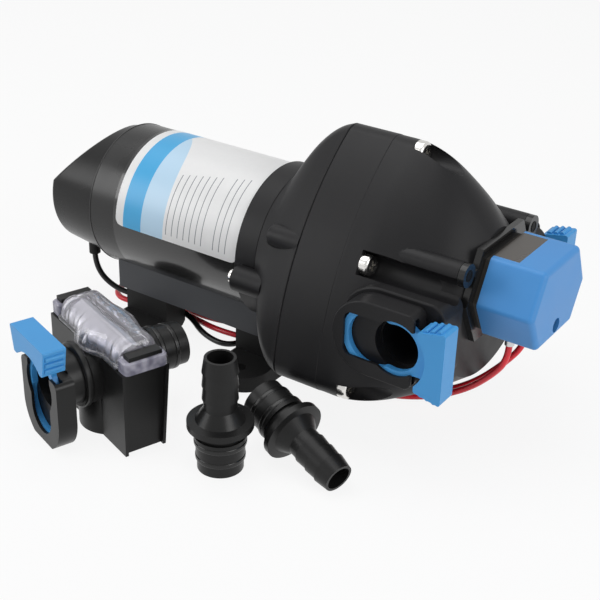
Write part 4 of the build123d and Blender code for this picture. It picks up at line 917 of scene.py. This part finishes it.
def painted_over(tree, under, over, mask):
    """The under colour with the over colour on top wherever the mask is one."""
    mix = tree.nodes.new("ShaderNodeMix")
    mix.data_type = "RGBA"
    for place, value in (("Factor", mask), (6, under), (7, over)):
        feed(tree, mix.inputs[place], value)
    return mix.outputs[2]


grain_group, group_in, group_out = start_group(
    "mould_grain", {"Vector": None, "Fineness": 2500.0}, {"Height": 0.0},
)
given = group_in.outputs
specks = noise(grain_group, given["Vector"], given["Fineness"], 3.0)
fed(grain_group, specks.node, Roughness=0.6)
cells = grain_group.nodes.new("ShaderNodeTexVoronoi")
cells.feature = "SMOOTH_F1"
fed(grain_group, cells, Vector=given["Vector"], Scale=given["Fineness"])
cell_share = 0.6
height = worked(grain_group, "MULTIPLY_ADD", cells.outputs["Distance"], cell_share, specks)
fed(grain_group, group_out, Height=height)

handling_group, group_in, group_out = start_group(
    "handling",
    {
        "Vector": None, "Colour": (0.5, 0.5, 0.5, 1), "Worn Colour": (0.6, 0.6, 0.6, 1),
        "Rough Low": 0.4, "Rough High": 0.5, "Patch Size": 60.0,
    },
    {"Colour": (0.5, 0.5, 0.5, 1), "Roughness": 0.5},
)
given = group_in.outputs
patches = noise(handling_group, given["Vector"], given["Patch Size"], 4.0)
roughness = ranged(handling_group, patches, 0.3, 0.7, given["Rough Low"], given["Rough High"])
tone = painted_over(handling_group, given["Colour"], given["Worn Colour"], patches)
fed(handling_group, group_out, Colour=tone, Roughness=roughness)
print("groups", [group.name for group in bpy.data.node_groups])

# %% [markdown]
# ## Finishes
# Each finish is one Principled shader fed by the groups. Black plastics differ only in how
# rough and how grainy they are, so one function makes them all from a few numbers.

# %% Finishes
def start_finish(name):
    """A material with nodes, its Principled shader and its object coordinates."""
    material = bpy.data.materials.new(name)
    material.use_nodes = True
    tree = material.node_tree
    shader = tree.nodes["Principled BSDF"]
    coordinates = tree.nodes.new("ShaderNodeTexCoord")
    return material, tree, shader, coordinates.outputs["Object"]


def add_group(tree, group, **values):
    """The group as a node, with these values for its sockets."""
    node = tree.nodes.new("ShaderNodeGroup")
    node.node_tree = group
    return fed(tree, node, **values)


def add_bump(tree, shader, height, depth):
    """A bump of this depth, in metres, into the shader's normal."""
    bump = tree.nodes.new("ShaderNodeBump")
    fed(tree, bump, Strength=1.0, Distance=depth, Height=height)
    fed(tree, shader, Normal=bump.outputs["Normal"])


def rgba(levels):
    """One level for a grey, or three for red, green and blue, with full alpha."""
    return (*np.broadcast_to(levels, 3).tolist(), 1)


def moulded(name, colour, worn, rough_low, rough_high, fineness, depth, gloss=0.5, metal=0, coat=0):
    """A moulded, painted or metal finish with grain and slow changes in gloss."""
    material, tree, shader, place = start_finish(name)
    hands = add_group(tree, handling_group, Vector=place, Colour=rgba(colour),
                      Worn_Colour=rgba(worn), Rough_Low=rough_low, Rough_High=rough_high)
    fed(tree, shader, Base_Color=hands.outputs["Colour"], Roughness=hands.outputs["Roughness"],
        Specular_IOR_Level=gloss, Metallic=metal, Coat_Weight=coat)
    grain = add_group(tree, grain_group, Vector=place, Fineness=fineness)
    add_bump(tree, shader, grain.outputs["Height"], depth * mm)
    return material


# Each row: colour, worn colour, lowest and highest roughness, fineness of the grain, its
# depth in millimetres, then the gloss, the metal and the coat where they aren't the usual.
finish_rows = {
    "can_paint": (0.018, 0.024, 0.17, 0.24, 4000, 0.003, 0.5, 0, 0.3),
    "black_metal": (0.015, 0.021, 0.24, 0.32, 3000, 0.005, 0.4),
    "bronze": ((0.45, 0.28, 0.13), (0.5, 0.33, 0.17), 0.3, 0.45, 3000, 0.005, 0.5, 1),
    "cap_plastic": (0.011, 0.015, 0.22, 0.29, 2200, 0.008, 0.25),
    "rubber": (0.01, 0.015, 0.55, 0.68, 1800, 0.02, 0.22),
    "housing_plastic": (
        (0.0095, 0.0095, 0.0105), (0.014, 0.0135, 0.0145), 0.38, 0.48, 2200, 0.02, 0.22,
    ),
    "bright_screw": ((0.74, 0.72, 0.69), (0.8, 0.79, 0.77), 0.14, 0.24, 5000, 0.002, 0.5, 1),
    "bearing_steel": (0.6, 0.66, 0.2, 0.3, 4000, 0.003, 0.5, 1),
    "magnet": (0.06, 0.09, 0.5, 0.65, 1500, 0.02),
    "carbon": (0.02, 0.03, 0.5, 0.7, 1500, 0.02),
    "white_plastic": ((0.78, 0.77, 0.73), (0.84, 0.83, 0.8), 0.35, 0.45, 2500, 0.008),
    "seal": (0.006, 0.009, 0.2, 0.3, 1800, 0.004, 0.4),
    "black_gloss": (0.009, 0.014, 0.16, 0.26, 3000, 0.003, 0.4),
    "switch_gloss": ((0.05, 0.044, 0.038), (0.07, 0.06, 0.05), 0.2, 0.3, 3000, 0.003),
    "ear_dark": (0.004, 0.006, 0.5, 0.6, 2500, 0.004, 0.15),
    "blue_plastic": ((0.06, 0.27, 0.64), (0.08, 0.31, 0.69), 0.36, 0.44, 2400, 0.008, 0.35),
    "clip_blue": ((0.055, 0.31, 0.68), (0.07, 0.35, 0.73), 0.36, 0.44, 2400, 0.008, 0.35),
    "tinned": (0.6, 0.7, 0.25, 0.4, 4000, 0.004, 0.5, 1),
    "bracket_paint": ((0.05, 0.053, 0.06), (0.062, 0.065, 0.072), 0.42, 0.5, 2600, 0.008, 0.35),
    "lead_black": (0.007, 0.01, 0.26, 0.36, 1500, 0.004, 0.35),
    "lead_red": ((0.84, 0.016, 0.034), (0.90, 0.026, 0.045), 0.24, 0.33, 1500, 0.004, 0.45),
    "lamination": (0.35, 0.42, 0.35, 0.5, 3000, 0.008, 0.5, 1),
    "copper": ((0.55, 0.22, 0.1), (0.62, 0.27, 0.13), 0.25, 0.4, 2500, 0.01, 0.5, 1),
    "spring_steel": (0.5, 0.6, 0.25, 0.4, 3000, 0.004, 0.5, 1),
    "fitting_plastic": (0.009, 0.013, 0.3, 0.38, 2600, 0.008, 0.25),
    "screen_steel": (0.62, 0.7, 0.3, 0.42, 3000, 0.006, 0.5, 1),
}
finishes = {name: moulded(name, *row) for name, row in finish_rows.items()}
print("moulded, painted and metal finishes", len(finishes))

# %% [markdown]
# ## Clear plastic and print
# Clear plastic lets light through and bends it: the dome nearly all of it, the frames half of
# it. The label's print comes from the sheet's own UV map, turned into millimetres along the
# motor and degrees round it. Bands and thin rules are plain comparisons of those two.

# %% Clear plastic
acrylic_ior = 1.49


def clear_plastic(name, roughness, transmission):
    """A clear finish of this roughness that lets this share of the light through."""
    material, tree, shader, place = start_finish(name)
    fed(tree, shader, Roughness=roughness, IOR=acrylic_ior, Transmission_Weight=transmission)
    finishes[name] = material
    return tree, shader, place


tree, shader, place = clear_plastic("clear_lid", 0.04, 0.9)
fed(tree, shader, Base_Color=(0.94, 0.93, 0.99, 1))
add_bump(tree, shader, noise(tree, place, 90.0), 0.25 * mm)

tree, shader, place = clear_plastic("clear_frame", 0.1, 0.5)
streaks = noise(tree, place, 260.0, 1.0)
milky = ranged(tree, streaks, 0.35, 0.65)
cloudy = painted_over(tree, (0.36, 0.35, 0.46, 1), (0.80, 0.78, 0.92, 1), milky)
fed(tree, shader, Base_Color=cloudy)
add_bump(tree, shader, streaks, 0.15 * mm)
print("clear finishes end at", acrylic_ior, "for the bending of light")

# %% Label print
margin_end, blue_end, pale_end, pale_taper = 4.1, 13.9, 25.9, 11.2
taper_angle, taper_most, taper_power = 95.0, 1.02, 4.0
rules_start, rules_end, first_rule, half_pitch, half_rule = 27.0, 61.2, 27.6, 1.55, 0.2
gap_middle, gap_half = 49.0, 1.9
top_angle, top_slope, edge_angle = 42.0, 0.4, 5.0
ink, pale_blue = rgba((0.22, 0.23, 0.25)), rgba((0.50, 0.70, 0.87))
bright_blue, dull_paper, clean_paper = map(rgba, ((0.055, 0.40, 0.74), 0.80, (0.84, 0.84, 0.835)))

label_paper, tree, shader, place = start_finish("label")


def sum_of(operation, *values):
    """A Math node in the label's own tree."""
    return worked(tree, operation, *values)


print_map = tree.nodes.new("ShaderNodeUVMap")
print_map.uv_map = "print"
axes = fed(tree, tree.nodes.new("ShaderNodeSeparateXYZ"), Vector=print_map.outputs["UV"])
far_along = sum_of("MULTIPLY", axes.outputs["X"], label_length / mm)
far_round = sum_of("MULTIPLY", axes.outputs["Y"], 180.0)
turn_share = sum_of("MINIMUM", sum_of("DIVIDE", far_round, taper_angle), taper_most)
taper = sum_of("MULTIPLY", sum_of("POWER", turn_share, taper_power), pale_taper)
pale_band = sum_of("LESS_THAN", far_along, sum_of("SUBTRACT", pale_end, taper))
blue_band = sum_of("LESS_THAN", far_along, blue_end)
rear_margin = sum_of("LESS_THAN", far_along, margin_end)
past_first = sum_of("SUBTRACT", far_along, first_rule)
rules = sum_of("LESS_THAN", sum_of("PINGPONG", past_first, half_pitch), half_rule)
gap = sum_of("COMPARE", far_along, gap_middle, gap_half)
rules_top = sum_of("MULTIPLY_ADD", far_along, top_slope, top_angle)
for allowed in (
    sum_of("GREATER_THAN", far_along, rules_start),
    sum_of("LESS_THAN", far_along, rules_end),
    sum_of("LESS_THAN", far_round, rules_top),
    sum_of("GREATER_THAN", far_round, edge_angle),
    sum_of("SUBTRACT", 1.0, gap),
):
    rules = sum_of("MULTIPLY", rules, allowed)
paper_tone = noise(tree, place, 400.0)
paper = printed = painted_over(tree, dull_paper, clean_paper, paper_tone)
for over, mask in (
    (ink, rules), (pale_blue, pale_band), (bright_blue, blue_band), (paper, rear_margin),
):
    printed = painted_over(tree, printed, over, mask)
fed(tree, shader, Base_Color=printed, Roughness=0.34)
add_bump(tree, shader, paper_tone, 0.004 * mm)
finishes["label"] = label_paper
print("finishes", len(finishes), "for", len(slots), "solids")

# %% [markdown]
# ## Dressing the pieces
# Each solid takes the finish that its slot names, apart from a few that look different in
# the same material. Each new piece takes the finish beside it in the list.

# %% Finishes on the pieces
solid_finishes = {
    "switch_body": "switch_gloss", "foot_screws": "black_metal", "inlet_clip": "clip_blue",
    "outlet_clip": "clip_blue", "strainer_clip": "clip_blue",
}
dressed = [(thing, solid_finishes.get(name, slots[name])) for name, thing in nodes.items()]
dressed += [
    (pump_head, "housing_plastic"), (drive_housing, "housing_plastic"),
    (head_screws, "bright_screw"), (ear_screws, "ear_dark"), (joint_bead, "black_metal"),
    (strainer_tub, "fitting_plastic"), (clear_lid, "clear_lid"), (tab_frames, "clear_frame"),
    (mesh_arch, "screen_steel"), (label_sheet, "label"), *lead_pieces,
]
for thing, finish in dressed:
    thing.data.materials.clear()
    thing.data.materials.append(finishes[finish])
print("finishes set on", len(dressed), "pieces")
